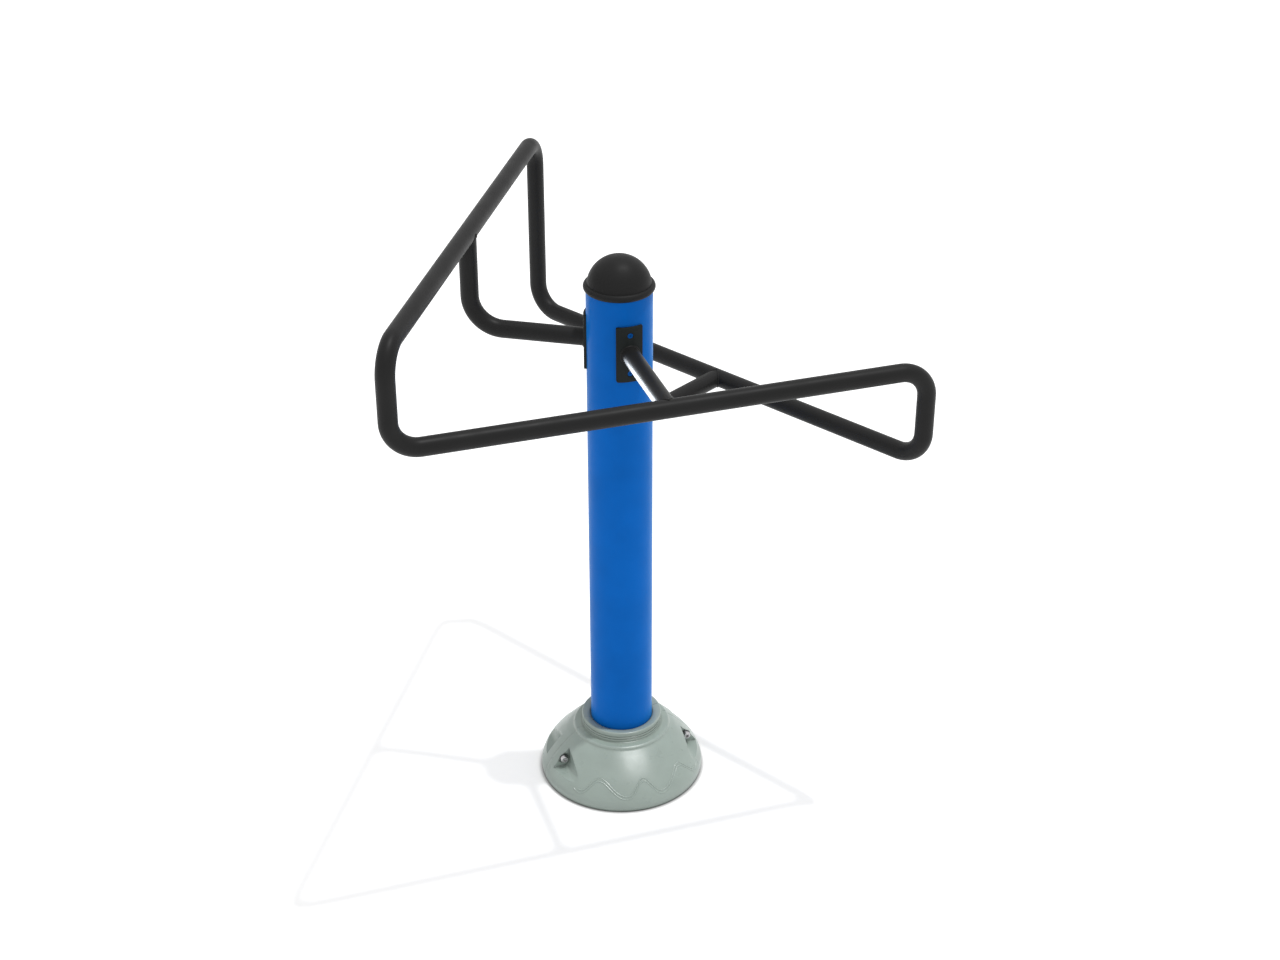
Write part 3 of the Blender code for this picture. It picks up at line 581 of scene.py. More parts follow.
def tint(material, factor, colour, drift, span=TINT_SPAN):
    """Base colour that drifts about a colour, between two shares of it."""
    drifting = colour_between(material, factor, span, *(shade(colour, share) for share in drift))
    nodes = material.node_tree.nodes
    material.node_tree.links.new(drifting, nodes["Principled BSDF"].inputs["Base Color"])


def gloss(material, factor, roughness, drift):
    """Roughness that drifts about a value, between two steps from it."""
    low, high = (roughness + step for step in drift)
    drifting = value_between(material, factor, *GLOSS_SPAN, low, high)
    nodes = material.node_tree.nodes
    material.node_tree.links.new(drifting, nodes["Principled BSDF"].inputs["Roughness"])


def relief(material, *layers, below=None):
    """Bumps of (factor, height in metres), one on the other, over a normal where one is given."""
    nodes, links = material.node_tree.nodes, material.node_tree.links
    for factor, height in layers:
        bump = nodes.new("ShaderNodeBump")
        bump.inputs["Distance"].default_value = height
        links.new(factor, bump.inputs["Height"])
        if below:
            links.new(below, bump.inputs["Normal"])
        below = bump.outputs["Normal"]
    links.new(below, nodes["Principled BSDF"].inputs["Normal"])


def paint_crevice_shade(material, reach):
    """Painted shade: base colour that darkens where other surfaces hem the surface in."""
    nodes, links = material.node_tree.nodes, material.node_tree.links
    painted = nodes["Principled BSDF"].inputs["Base Color"]
    painted_shade = nodes.new("ShaderNodeAmbientOcclusion")
    painted_shade.inputs["Distance"].default_value = reach
    links.new(painted.links[0].from_socket, painted_shade.inputs["Color"])
    links.new(painted_shade.outputs["Color"], painted)


def powder_coat(name, colour, roughness, specular, peel, sheen=0.0):
    """Baked powder paint: a fine orange peel, with faint drifts of colour and gloss."""
    made = new_material(name, colour, roughness, specular=specular, sheen=sheen)
    place = texture_place(made)
    tint(made, noise(made, place, PAINT_TINT_GRAIN), colour, PAINT_TINT_DRIFT)
    gloss(
        made, noise(made, place, PAINT_GLOSS_GRAIN, RICH_DETAIL), roughness, PAINT_GLOSS_DRIFT)
    relief(
        made, (noise(made, place, PAINT_PEEL_GRAIN, PLAIN_DETAIL), peel),
        (noise(made, place, PAINT_FINE_GRAIN, PLAIN_DETAIL), peel / PAINT_FINE_DIVISOR))
    return made


def notch_normal(material):
    """A normal that looks rounded at the notches' edges, away from the seam and the collar."""
    nodes, links = material.node_tree.nodes, material.node_tree.links
    parts = nodes.new("ShaderNodeSeparateXYZ")
    links.new(texture_place(material), parts.inputs["Vector"])
    distance = nodes.new("ShaderNodeMath")
    distance.operation = "ABSOLUTE"
    links.new(parts.outputs["Y"], distance.inputs[0])
    near = NOTCH_BACK - 2 * NOTCH_EDGE_SHINE
    beside_seam = value_between(
        material, distance.outputs["Value"], near - NOTCH_EDGE_SHINE, near, 0.0, NOTCH_EDGE_SHINE)
    under_collar = value_between(
        material, parts.outputs["Z"], SHOULDER_HEIGHT, SHOULDER_HEIGHT - NOTCH_EDGE_SHINE, 0.0, 1.0)
    reach = nodes.new("ShaderNodeMath")
    reach.operation = "MULTIPLY"
    links.new(beside_seam, reach.inputs[0])
    links.new(under_collar, reach.inputs[1])
    bevel = nodes.new("ShaderNodeBevel")
    links.new(reach.outputs["Value"], bevel.inputs["Radius"])
    return bevel.outputs["Normal"]


def moulded_plastic(name, colour, roughness, specular, normal=None):
    """Moulded plastic: a fine grain with soft drifts where it flowed into the mould."""
    made = new_material(name, colour, roughness, specular=specular)
    below = normal(made) if normal else None
    place = texture_place(made)
    flow = texture_place(made, PLASTIC_FLOW_STRETCH)
    tint(made, noise(made, flow, PLASTIC_TINT_GRAIN, RICH_DETAIL), colour, PLASTIC_TINT_DRIFT)
    gloss(
        made, noise(made, place, PLASTIC_GLOSS_GRAIN, RICH_DETAIL), roughness,
        PLASTIC_GLOSS_DRIFT)
    flow_height = PLASTIC_FINE_HEIGHT * PLASTIC_FLOW_FACTOR
    relief(
        made, (noise(made, flow, PLASTIC_FLOW_GRAIN, PLAIN_DETAIL), flow_height),
        (noise(made, place, PLASTIC_FINE_GRAIN, DETAIL), PLASTIC_FINE_HEIGHT), below=below)
    return made


def machined_steel(name, colour, roughness):
    """Stainless steel with fine turning marks."""
    made = new_material(name, colour, roughness, metallic=1.0)
    place = texture_place(made)
    marks = texture_place(made, STEEL_MARK_STRETCH)
    tint(made, noise(made, place, STEEL_TINT_GRAIN), colour, STEEL_TINT_DRIFT)
    gloss(
        made, noise(made, marks, STEEL_GLOSS_GRAIN, RICH_DETAIL), roughness, STEEL_GLOSS_DRIFT)
    relief(made, (noise(made, marks, STEEL_MARK_GRAIN, PLAIN_DETAIL), STEEL_MARK_DEPTH))
    return made


def galvanised_steel(name, colour, roughness):
    """Hot-dip zinc: spangles of slightly different greys."""
    made = new_material(name, colour, roughness, metallic=0.9)
    nodes, links = made.node_tree.nodes, made.node_tree.links
    place = texture_place(made)
    spangle = nodes.new("ShaderNodeTexVoronoi")
    spangle.inputs["Scale"].default_value = 1.0 / ZINC_SPANGLE_GRAIN
    links.new(place, spangle.inputs["Vector"])
    parts = nodes.new("ShaderNodeSeparateColor")
    links.new(spangle.outputs["Color"], parts.inputs["Color"])
    tint(made, parts.outputs["Red"], colour, ZINC_TINT_DRIFT, ZINC_TINT_SPAN)
    gloss(made, noise(made, place, ZINC_GLOSS_GRAIN, RICH_DETAIL), roughness, ZINC_GLOSS_DRIFT)
    relief(made, (noise(made, place, ZINC_RIPPLE_GRAIN), ZINC_RIPPLE_DEPTH))
    return made


POST_PAINT = powder_coat(
    "post_powder_coat", BLUE, roughness=0.34, specular=0.04, peel=0.04 * MM, sheen=POST_SHEEN)
# The plate screws wear the post's paint, darkened as painted shade for their recess
SHADED_SCREW_PAINT = powder_coat(
    "plate_screw_paint_with_painted_shade", shade(BLUE, SCREW_PAINTED_SHADE), roughness=0.5, specular=0.05, peel=0.02 * MM)
RAIL_PAINT = powder_coat(
    "rail_powder_coat", BLACK, roughness=0.45, specular=0.14, peel=0.04 * MM)
PLATE_PAINT = powder_coat(
    "plate_powder_coat", PLATE_BLACK, roughness=0.62, specular=0.1, peel=0.05 * MM)
CAP_PLASTIC = moulded_plastic("cap_plastic", CAP_BLACK, roughness=0.48, specular=0.10)
COVER_PLASTIC = moulded_plastic(
    "cover_plastic", GREY_GREEN, roughness=0.31, specular=0.5, normal=notch_normal)
WAVE_PLASTIC = moulded_plastic("wave_plastic", GREY_GREEN, roughness=0.31, specular=0.5)
SCREW_STEEL = machined_steel("screw_steel", STEEL, roughness=0.32)
# The washers' steel is darkened as painted shade for the recess they sit in
SHADED_WASHER_STEEL = machined_steel("washer_steel_with_painted_shade", WASHER_PAINTED_SHADE_STEEL, roughness=0.45)
BASE_ZINC = galvanised_steel("base_zinc", ZINC, roughness=0.45)
# Painted shade: the base colour darkens in the cover's crevices and round the plate screws' heads
paint_crevice_shade(COVER_PLASTIC, COVER_PAINTED_SHADE_REACH)
paint_crevice_shade(SHADED_SCREW_PAINT, SCREW_PAINTED_SHADE_REACH)


def dress(obj, material, slot, *nodes):
    """Finish a piece: smooth, painted, riding on the body and standing for its nodes."""
    obj.data.shade_smooth()
    obj.data.set_sharp_from_angle(angle=SMOOTH_ANGLE)
    obj.data.materials.clear()
    obj.data.materials.append(material)
    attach(obj, "root")
    if nodes:
        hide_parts(*nodes)


# Post and cap

def make_post():
    inner = POST_RADIUS - POST_WALL
    profile = [
        (POST_RADIUS, POST_TOP), (POST_RADIUS, POST_FOOT), (inner, POST_FOOT), (inner, POST_TOP),
    ]
    post = add_object("painted_post", lathe(profile, POST_SIDES, closed=True))
    holes = []
    for _, angle, height in plate_screw_places():
        centre = UP * height
        reach = outward(angle) * (POST_RADIUS + OVERRUN)
        holes.append(rod("nut_hole", centre, centre + reach, RIVET_NUT_RADIUS + SEAT_GAP))
    dress(boolean(post, *holes), POST_PAINT, "post_paint", "post_tube")


def make_cap():
    dome_centre = (0.0, CAP_UNDERSIDE + CAP_DOME_LIFT)
    bead_inset = CAP_BEAD_RADIUS - CAP_BEAD_OVERHANG
    bead_centre = (
        POST_RADIUS - bead_inset,
        CAP_UNDERSIDE + sqrt(CAP_BEAD_RADIUS ** 2 - bead_inset ** 2),
    )
    groove_height = bead_centre[1] + CAP_BEAD_RADIUS * sin(CAP_GROOVE_ANGLE)
    dome_foot = asin((groove_height - dome_centre[1]) / CAP_DOME_RADIUS)
    dome = arc(dome_centre, CAP_DOME_RADIUS, pi / 2, dome_foot, DOME_STEPS)
    bead_foot = asin(bead_inset / CAP_BEAD_RADIUS) - pi / 2
    bead = arc(bead_centre, CAP_BEAD_RADIUS, CAP_GROOVE_ANGLE, bead_foot, BEAD_STEPS)
    plug = POST_RADIUS - POST_WALL - SEAT_GAP
    hollow = plug - CAP_WALL
    walls = [
        (plug, CAP_UNDERSIDE), (plug, CAP_BOTTOM + CAP_PLUG_CHAMFER),
        (plug - CAP_PLUG_CHAMFER / 2, CAP_BOTTOM), (hollow, CAP_BOTTOM),
        (hollow, CAP_UNDERSIDE),
    ]
    inner = arc(dome_centre, CAP_DOME_RADIUS - CAP_WALL, 0.0, pi / 2, DOME_STEPS)
    inner = [point for point in inner if point[0] < hollow]
    dome[0] = (0.0, dome[0][1])
    inner[-1] = (0.0, inner[-1][1])
    cap = add_object("domed_cap", lathe(dome + bead + walls + inner, POST_SIDES))
    dress(cap, CAP_PLASTIC, "cap_plastic", "post_cap")


# Handrail

def rail_corner(angle, height):
    """A corner of the loop, seen from above at an angle, at a height."""
    return outward(angle) * RAIL_APOTHEM / cos(CORNER_HALF_ANGLE) + UP * height


def make_handrail():
    """The three rails as one closed loop, joined in the middle of their corner legs."""
    loop = bmesh.new()
    for index, (angle, height) in enumerate(RAILS):
        before = RAILS[index - 1][1]
        after = RAILS[(index + 1) % len(RAILS)][1]
        start, end = angle - CORNER_HALF_ANGLE, angle + CORNER_HALF_ANGLE
        corners = [
            rail_corner(start, (height + before) / 2), rail_corner(start, height),
            rail_corner(end, height), rail_corner(end, (height + after) / 2),
        ]
        route = bent_path(corners, RAIL_BEND_RADIUS)
        add_part(loop, skin(route_rings(route, outward(angle), TUBE_RADIUS)))
    bmesh.ops.remove_doubles(loop, verts=loop.verts, dist=SEAT_GAP)
    handrail = add_object("handrail_loop", cleaned(loop))
    dress(handrail, RAIL_PAINT, "rail_paint", "middle_rail", "low_rail", "high_rail")


def arm_course(angle, height, rail_height):
    """An arm's outward and sideways directions, its start, its joint and its travel there."""
    out = outward(angle)
    start = out * (PLATE_OUTER_RADIUS + TUBE_RADIUS) + UP * height
    joint = out * RAIL_APOTHEM + UP * rail_height
    return out, sideways(angle), start, joint, UP if rail_height > height else out


def on_plate(points, out):
    """Points moved inwards on to a saddle plate."""
    return [landed(point, -out, ORIGIN, UP, PLATE_OUTER_RADIUS) for point in points]


def on_rail(points, travel, joint, side):
    """Points moved along an arm's travel on to its rail."""
    return [landed(point, travel, joint, side, TUBE_RADIUS) for point in points]


def arm_wall(angle, height, rail_height, radius):
    """Rings of an arm's wall, cut to the saddle plate at one end and to the rail at the other."""
    out, side, start, joint, travel = arm_course(angle, height, rail_height)
    if rail_height > height:
        corner = out * RAIL_APOTHEM + UP * height
        route = bent_path([start, corner, joint], ARM_BEND_RADIUS)
    else:
        route = [start, joint]
    rings = route_rings(route, side, radius)
    before = [point - travel * 2 * TUBE_RADIUS for point in rings[-1]]
    far = on_rail(before, travel, joint, side)
    return [on_plate(rings[0], out)] + rings[:-1] + [before, far]


def weld_bead(name, path, axis_at, radius):
    """A rippled bead along a closed line round an arm, whose axis is given beside each place."""
    count = len(path)
    rings = []
    for index, place in enumerate(path):
        along = (path[(index + 1) % count] - path[index - 1]).normalized()
        radial = place - axis_at(place)
        across = (radial - along * radial.dot(along)).normalized()
        phase = index % WELD_POINTS_PER_RIPPLE / WELD_POINTS_PER_RIPPLE
        size = radius * (1.0 - WELD_RIPPLE_SHARE * phase ** 2)
        rings.append(ring(place, across, along.cross(across), size, WELD_SIDES))
    return add_object(name, skin(rings, closed=True))


def make_arm(name, angle, height, rail_height):
    outer = arm_wall(angle, height, rail_height, TUBE_RADIUS)
    inner = arm_wall(angle, height, rail_height, TUBE_RADIUS - TUBE_WALL)
    arm = add_object(name + "_arm_tube", skin(outer + inner[::-1], closed=True))
    dress(arm, RAIL_PAINT, "rail_paint", name + "_arm")
    out, side, start, joint, travel = arm_course(angle, height, rail_height)
    points = WELD_RIPPLES * WELD_POINTS_PER_RIPPLE
    circle = ring(start, side, UP, TUBE_RADIUS, points)
    bead = weld_bead(
        name + "_plate_bead", on_plate(circle, out),
        lambda place: out * place.dot(out) + UP * height, PLATE_WELD_RADIUS)
    dress(bead, RAIL_PAINT, "rail_paint", name + "_plate_weld")
    circle = ring(joint - travel * 2 * TUBE_RADIUS, side, side.cross(travel), TUBE_RADIUS, points)
    bead = weld_bead(
        name + "_rail_bead", on_rail(circle, travel, joint, side),
        lambda place: joint + travel * (place - joint).dot(travel), RAIL_WELD_RADIUS)
    dress(bead, RAIL_PAINT, "rail_paint", name + "_rail_weld")


# Saddle plates and their screws

def plate_screw_places():
    """Name, direction and height of each saddle plate's screws."""
    return [
        (f"{name}_plate_{level}", angle, height + side * PLATE_HOLE_RISE)
        for name, angle, height, _ in ARMS
        for level, side in LEVELS
    ]


def make_plate(name, angle, height):
    rise = PLATE_HEIGHT / 2 + OVERRUN
    profile = [
        (PLATE_OUTER_RADIUS, height + rise), (PLATE_OUTER_RADIUS, height - rise),
        (PLATE_INNER_RADIUS, height - rise), (PLATE_INNER_RADIUS, height + rise),
    ]
    plate = add_object(name + "_saddle_plate", lathe(profile, 2 * POST_SIDES, closed=True))
    reach = PLATE_OUTER_RADIUS + OVERRUN
    outline = block(
        "outline", (0.0, -PLATE_WIDTH / 2, -PLATE_HEIGHT / 2),
        (reach, PLATE_WIDTH / 2, PLATE_HEIGHT / 2), PLATE_CORNER_RADIUS,
        lambda first, second: abs(first.x - second.x) > PLATE_INNER_RADIUS)
    outline.data.transform(Matrix.Translation(UP * height) @ Matrix.Rotation(angle, 4, "Z"))
    boolean(plate, outline, operation="INTERSECT")
    out = outward(angle)
    ledge = PLATE_INNER_RADIUS + PLATE_LEDGE
    tools = []
    for _, side in LEVELS:
        centre = UP * (height + side * PLATE_HOLE_RISE)
        tools.append(rod(
            "counterbore", centre + out * ledge, centre + out * reach, PLATE_COUNTERBORE_RADIUS))
        tools.append(rod(
            "hole", centre, centre + out * reach, PLATE_SCREW_RADIUS + PLATE_SCREW_CLEARANCE))
    boolean(plate, *tools)
    outer = PLATE_INNER_RADIUS + PLATE_THICKNESS / 2
    soften(
        plate, PLATE_EDGE_ROUND, PLATE_EDGE_STEPS,
        lambda first, second: min(first.xy.length, second.xy.length) > outer)
    dress(plate, PLATE_PAINT, "plate_paint", name + "_plate")


def screw_shape(name, profile, top, socket_radius, socket_depth, knurl=0.0):
    """A socket screw that stands on the origin, with a knurled head where asked."""
    shape = lathe(profile, SCREW_SIDES)
    head = max(point[0] for point in profile)
    for vert in shape.verts:
        around = vert.co.xy.length
        turn = round(vert.co.xy.angle_signed(Vector((1.0, 0.0)), 0.0) / (2 * pi) * SCREW_SIDES)
        if around > head - MERGE_DISTANCE and turn % 2:
            vert.co.xy *= 1.0 - knurl / head
    screw = add_object(name, shape)
    socket = rod("socket", UP * (top - socket_depth), UP * (top + OVERRUN), socket_radius, HEX_SIDES)
    return boolean(screw, socket)


def make_plate_screws():
    head = PLATE_COUNTERBORE_RADIUS - SEAT_GAP
    top = PLATE_SCREW_HEAD_HEIGHT
    profile = [
        (0.0, top), (head - PLATE_SCREW_CHAMFER, top), (head, top - PLATE_SCREW_CHAMFER), (head, 0.0),
        (PLATE_SCREW_RADIUS, 0.0), (PLATE_SCREW_RADIUS, -PLATE_SCREW_LENGTH),
        (0.0, -PLATE_SCREW_LENGTH),
    ]
    screw = screw_shape(
        "screw", profile, top, PLATE_SCREW_SOCKET_RADIUS, PLATE_SCREW_SOCKET_DEPTH)
    seat = PLATE_INNER_RADIUS + PLATE_LEDGE + SEAT_GAP
    for name, angle, height in plate_screw_places():
        out = outward(angle)
        copy = in_scene(name + "_socket_screw", screw.data.copy())
        copy.data.transform(Matrix.Translation(out * seat + UP * height) @ facing(out))
        dress(copy, SHADED_SCREW_PAINT, "post_paint", name + "_screw")
    bpy.data.objects.remove(screw, do_unlink=True)


# Foot cover

def bell_outline():
    """The cover's flared skirt, from below its shoulder to its rim."""
    start = (SHOULDER_RADIUS + BELL_STEP, SHOULDER_HEIGHT - SHOULDER_DROP)
    end = (RIM_RADIUS, RIM_HEIGHT)
    width, height = end[0] - start[0], start[1] - end[1]
    handles = [
        (start[0] + width * across, start[1] - height * down)
        for across, down in BELL_HANDLE_SHARES
    ]
    return bezier(start, handles[0], handles[1], end, BELL_STEPS)


def groove(height):
    """A rounded groove in the collar, from a height down."""
    points = []
    for step in range(GROOVE_STEPS + 1):
        share = step / GROOVE_STEPS
        depth = COLLAR_GROOVE_DEPTH * (1 - cos(2 * pi * share)) / 2
        points.append((COLLAR_RADIUS - depth, height - COLLAR_GROOVE_WIDTH * share))
    return points


def cover_outline():
    """The cover's outer side, from the bore of its collar down to its rim."""
    slope = (COLLAR_LIP - COLLAR_INNER_TOP) / (COLLAR_RADIUS - COVER_BORE_RADIUS)
    outline = [
        (COVER_BORE_RADIUS, COLLAR_INNER_TOP - COLLAR_BORE_ROUND),
        (COVER_BORE_RADIUS + COLLAR_BORE_BULGE, COLLAR_INNER_TOP - COLLAR_BORE_BULGE),
        (COVER_BORE_RADIUS + COLLAR_BORE_ROUND, COLLAR_INNER_TOP + COLLAR_BORE_ROUND * slope),
    ]
    lip_centre = (COLLAR_RADIUS - COLLAR_LIP_ROUND, COLLAR_LIP - COLLAR_LIP_ROUND)
    outline += arc(lip_centre, COLLAR_LIP_ROUND, pi / 2, 0.0, ROUND_STEPS)
    for drop in COLLAR_GROOVE_DROPS:
        outline += groove(COLLAR_LIP - drop)
    foot_centre = (COLLAR_RADIUS + COLLAR_FOOT_ROUND, SHOULDER_HEIGHT + COLLAR_FOOT_ROUND)
    outline += arc(foot_centre, COLLAR_FOOT_ROUND, pi, 1.5 * pi, ROUND_STEPS)
    shoulder_centre = (SHOULDER_RADIUS - SHOULDER_ROUND, SHOULDER_HEIGHT - SHOULDER_ROUND)
    outline += arc(shoulder_centre, SHOULDER_ROUND, pi / 2, 0.0, ROUND_STEPS)
    bell = bell_outline()
    waist = (SHOULDER_RADIUS, (SHOULDER_HEIGHT - SHOULDER_ROUND + bell[0][1]) / 2)
    outline += bezier(outline[-1], waist, waist, bell[1], ROUND_STEPS)[1:]
    outline += bell[2:]
    foot = (RIM_RADIUS - RIM_TUCK, 0.0)
    tuck = (RIM_RADIUS + RIM_BULGE, RIM_HEIGHT / 2)
    outline += bezier(outline[-1], tuck, foot, foot, ROUND_STEPS)[1:]
    return outline


def cover_hollow():
    """The space inside the cover's wall, from its ceiling to below the ground."""
    collar = COLLAR_RADIUS - COVER_WALL
    shoulder = SHOULDER_RADIUS - COVER_WALL
    ceiling = COLLAR_INNER_TOP - COVER_WALL
    step = SHOULDER_HEIGHT - SHOULDER_DROP - COVER_WALL
    rim = RIM_RADIUS - RIM_TUCK - COVER_WALL
    bell = [point for point in inset(bell_outline(), COVER_WALL) if point[1] < step]
    return [
        (0.0, ceiling), (collar, ceiling), (collar, SHOULDER_HEIGHT - COVER_WALL),
        (shoulder, SHOULDER_HEIGHT - COVER_WALL), (shoulder, step),
    ] + bell + [(rim, 0.0), (rim, -OVERRUN), (0.0, -OVERRUN)]


def notch(x_side, y_side, grow):
    """A corner notch, rounded where its floor meets its flank, grown by a wall."""
    flank, back, floor = NOTCH_FLANK - grow, NOTCH_BACK - grow, NOTCH_FLOOR - grow
    far = RIM_RADIUS + OVERRUN
    top = COLLAR_INNER_TOP + OVERRUN
    across = sorted((x_side * flank, x_side * far))
    along = sorted((y_side * back, y_side * far))
    return block(
        "notch", (across[0], along[0], floor), (across[1], along[1], top), NOTCH_ROUND + grow,
        lambda first, second: (
            max(abs(first.x), abs(second.x)) < (flank + far) / 2
            and max(first.z, second.z) < (floor + top) / 2))


def notches(grow):
    return [notch(x_side, y_side, grow) for x_side, y_side in NOTCH_CORNERS]


def clamp_rods(start, end, radius):
    """A bar on each clamp screw's axis, from one distance behind the seam to another."""
    axes = [Vector((side * CLAMP_X, 0.0, CLAMP_Z)) for _, side in SIDES]
    return [
        rod("clamp_rod", axis + REARWARD * start, axis + REARWARD * end, radius) for axis in axes]


@cache
def skin_points():
    """The cover's outer side without its collar's grooves and slope."""
    return [point for point in cover_outline() if point[0] > COLLAR_RADIUS - SEAT_GAP]


def bell_radius(height):
    """The outer radius of the cover at a height."""
    for upper, lower in zip(skin_points(), skin_points()[1:]):
        if lower[1] <= height <= upper[1]:
            share = (upper[1] - height) / max(upper[1] - lower[1], MERGE_DISTANCE)
            return upper[0] + (lower[0] - upper[0]) * share
    return COLLAR_RADIUS


def on_seam(first, second):
    """Whether an edge lies where the seam meets the cover's outer skin."""
    bore_top = COLLAR_INNER_TOP - COLLAR_BORE_ROUND - SEAT_GAP
    return all(
        abs(place.y) < COVER_SEAM_GAP
        and (place.z > bore_top or place.xy.length > bell_radius(place.z) - COVER_WALL / 2)
        for place in (first, second))


def make_covers():
    top = [(0.0, COLLAR_INNER_TOP - COLLAR_BORE_ROUND)]
    whole = add_object("cover", lathe(top + cover_outline() + [(0.0, 0.0)], COVER_SIDES))
    hollow = add_object("cover_hollow", lathe(cover_hollow(), COVER_SIDES))
    boolean(hollow, *notches(COVER_WALL))
    boolean(hollow, *clamp_rods(-NOTCH_BACK, NOTCH_BACK, CLAMP_BOSS_RADIUS))
    boolean(whole, *notches(0.0))
    reach = NOTCH_BACK + OVERRUN
    bore = rod(
        "post_bore", UP * -OVERRUN, UP * (COLLAR_INNER_TOP + OVERRUN), COVER_BORE_RADIUS,
        COVER_SIDES)
    holes = clamp_rods(
        -reach, NOTCH_BACK - COVER_WALL, CLAMP_SCREW_RADIUS + CLAMP_SCREW_CLEARANCE)
    spotfaces = clamp_rods(-reach, -CLAMP_SEAT, CLAMP_SPOTFACE_RADIUS)
    boolean(whole, hollow, bore, *holes, *spotfaces)
    far = RIM_RADIUS + OVERRUN
    halves = (("front", -far, -COVER_SEAM_GAP / 2), ("rear", COVER_SEAM_GAP / 2, far))
    for name, low, high in halves:
        half = in_scene(f"foot_cover_{name}", whole.data.copy())
        keep = block("half", (-far, low, -far), (far, high, far))
        boolean(half, keep, operation="INTERSECT")
        soften(half, COVER_SEAM_ROUND, SEAM_EDGE_STEPS, on_seam)
        dress(half, COVER_PLASTIC, "cover_plastic", f"cover_{name}")
    bpy.data.objects.remove(whole, do_unlink=True)


def in_notch(place):
    """Whether a point on the bell lies in a notch or close to one."""
    return (
        abs(place.x) > NOTCH_FLANK - WAVE_MARGIN and abs(place.y) > NOTCH_BACK - WAVE_MARGIN
        and place.z > NOTCH_FLOOR - WAVE_MARGIN
    )


def wave_height(angle):
    """Height of the wave, which falls fast and climbs slowly away from each half's middle."""
    offset = abs((angle - FRONT + pi / 2) % pi - pi / 2)
    share = offset % WAVE_PERIOD
    if share < WAVE_FALL:
        phase = share / WAVE_FALL
    else:
        phase = 1.0 + (share - WAVE_FALL) / (WAVE_PERIOD - WAVE_FALL)
    return (WAVE_LOW + WAVE_HIGH) / 2 + (WAVE_HIGH - WAVE_LOW) / 2 * cos(pi * phase)


def wave_runs(drop):
    """Stretches of a wavy line on the bell, broken at the notches and at the seam."""
    runs = [[]]
    for step in range(WAVE_POINTS + 1):
        angle = FRONT + 2 * pi * step / WAVE_POINTS
        height = wave_height(angle) - drop
        place = outward(angle) * bell_radius(height) + UP * height
        if in_notch(place) or abs(place.y) < WAVE_MARGIN:
            runs.append([])
        else:
            runs[-1].append((place, angle))
    runs[0] = runs.pop()[:-1] + runs[0]
    return [run for run in runs if len(run) > WAVE_FEWEST_POINTS]


def make_wave():
    """Two low ridges that wave round the bell, as moulded with the cover."""
    relief_shape = bmesh.new()
    for drop in (-WAVE_SPACING / 2, WAVE_SPACING / 2):
        for run in wave_runs(drop):
            rings = []
            for index, (place, angle) in enumerate(run):
                before, after = run[max(index - 1, 0)][0], run[min(index + 1, len(run) - 1)][0]
                along = (after - before).normalized()
                across = along.cross(outward(angle)).normalized()
                end = min((place - run[0][0]).length, (place - run[-1][0]).length)
                size = WAVE_RIDGE_RADIUS * min(1.0, max(end / WAVE_FADE, WAVE_TIP_SHARE))
                centre = place - outward(angle) * (WAVE_SINK + WAVE_RIDGE_RADIUS - size)
                rings.append(ring(centre, across, along.cross(across), size, RIDGE_SIDES))
            add_part(relief_shape, skin(rings, caps=True))
    dress(add_object("cover_wave_relief", relief_shape), WAVE_PLASTIC, "cover_plastic")


# Screws of the cover

def make_clamp_screws():
    seat = CLAMP_SEAT + SEAT_GAP + CLAMP_WASHER_THICKNESS + SEAT_GAP
    length = seat + NOTCH_BACK - COVER_WALL - CLAMP_TIP_CLEARANCE
    head, shank, top = CLAMP_HEAD_RADIUS, CLAMP_SCREW_RADIUS, CLAMP_HEAD_HEIGHT
    chamfer = CLAMP_HEAD_CHAMFER
    profile = [
        (0.0, top), (head - chamfer, top), (head, top - chamfer), (head, 0.0), (shank, 0.0),
        (shank, chamfer - length), (shank - chamfer, -length), (0.0, -length),
    ]
    screw = screw_shape(
        "screw", profile, top, CLAMP_SOCKET_RADIUS, CLAMP_SOCKET_DEPTH, CLAMP_KNURL_DEPTH)
    for side, x_side in SIDES:
        copy = in_scene(f"{side}_clamp_screw", screw.data.copy())
        place = Matrix.Translation((x_side * CLAMP_X, -seat, CLAMP_Z))
        copy.data.transform(place @ facing(-REARWARD))
        dress(copy, SCREW_STEEL, "fastener_steel", f"cover_screw_{side}")
    bpy.data.objects.remove(screw, do_unlink=True)


def make_clamp_washers():
    outer, chamfer = CLAMP_WASHER_RADIUS, CLAMP_WASHER_CHAMFER
    bore = CLAMP_SCREW_RADIUS + SEAT_GAP
    top = CLAMP_WASHER_THICKNESS
    profile = [
        (outer - chamfer, top), (outer, top - chamfer), (outer, chamfer), (outer - chamfer, 0.0),
        (bore, 0.0), (bore, top),
    ]
    for side, x_side in SIDES:
        washer = add_object(f"{side}_clamp_washer", lathe(profile, SCREW_SIDES, closed=True))
        place = Matrix.Translation((x_side * CLAMP_X, -CLAMP_SEAT - SEAT_GAP, CLAMP_Z))
        washer.data.transform(place @ facing(-REARWARD))
        dress(washer, SHADED_WASHER_STEEL, "fastener_steel", f"cover_washer_{side}")


# What stays of the solids

def finish_hidden_steel():
    """Zinc on the solids that stay as they are, inside the cover, the post and the rails."""
    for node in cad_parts.values():
        if not node.hide_render:
            node.data.materials.clear()
            node.data.materials.append(BASE_ZINC)


# Studio

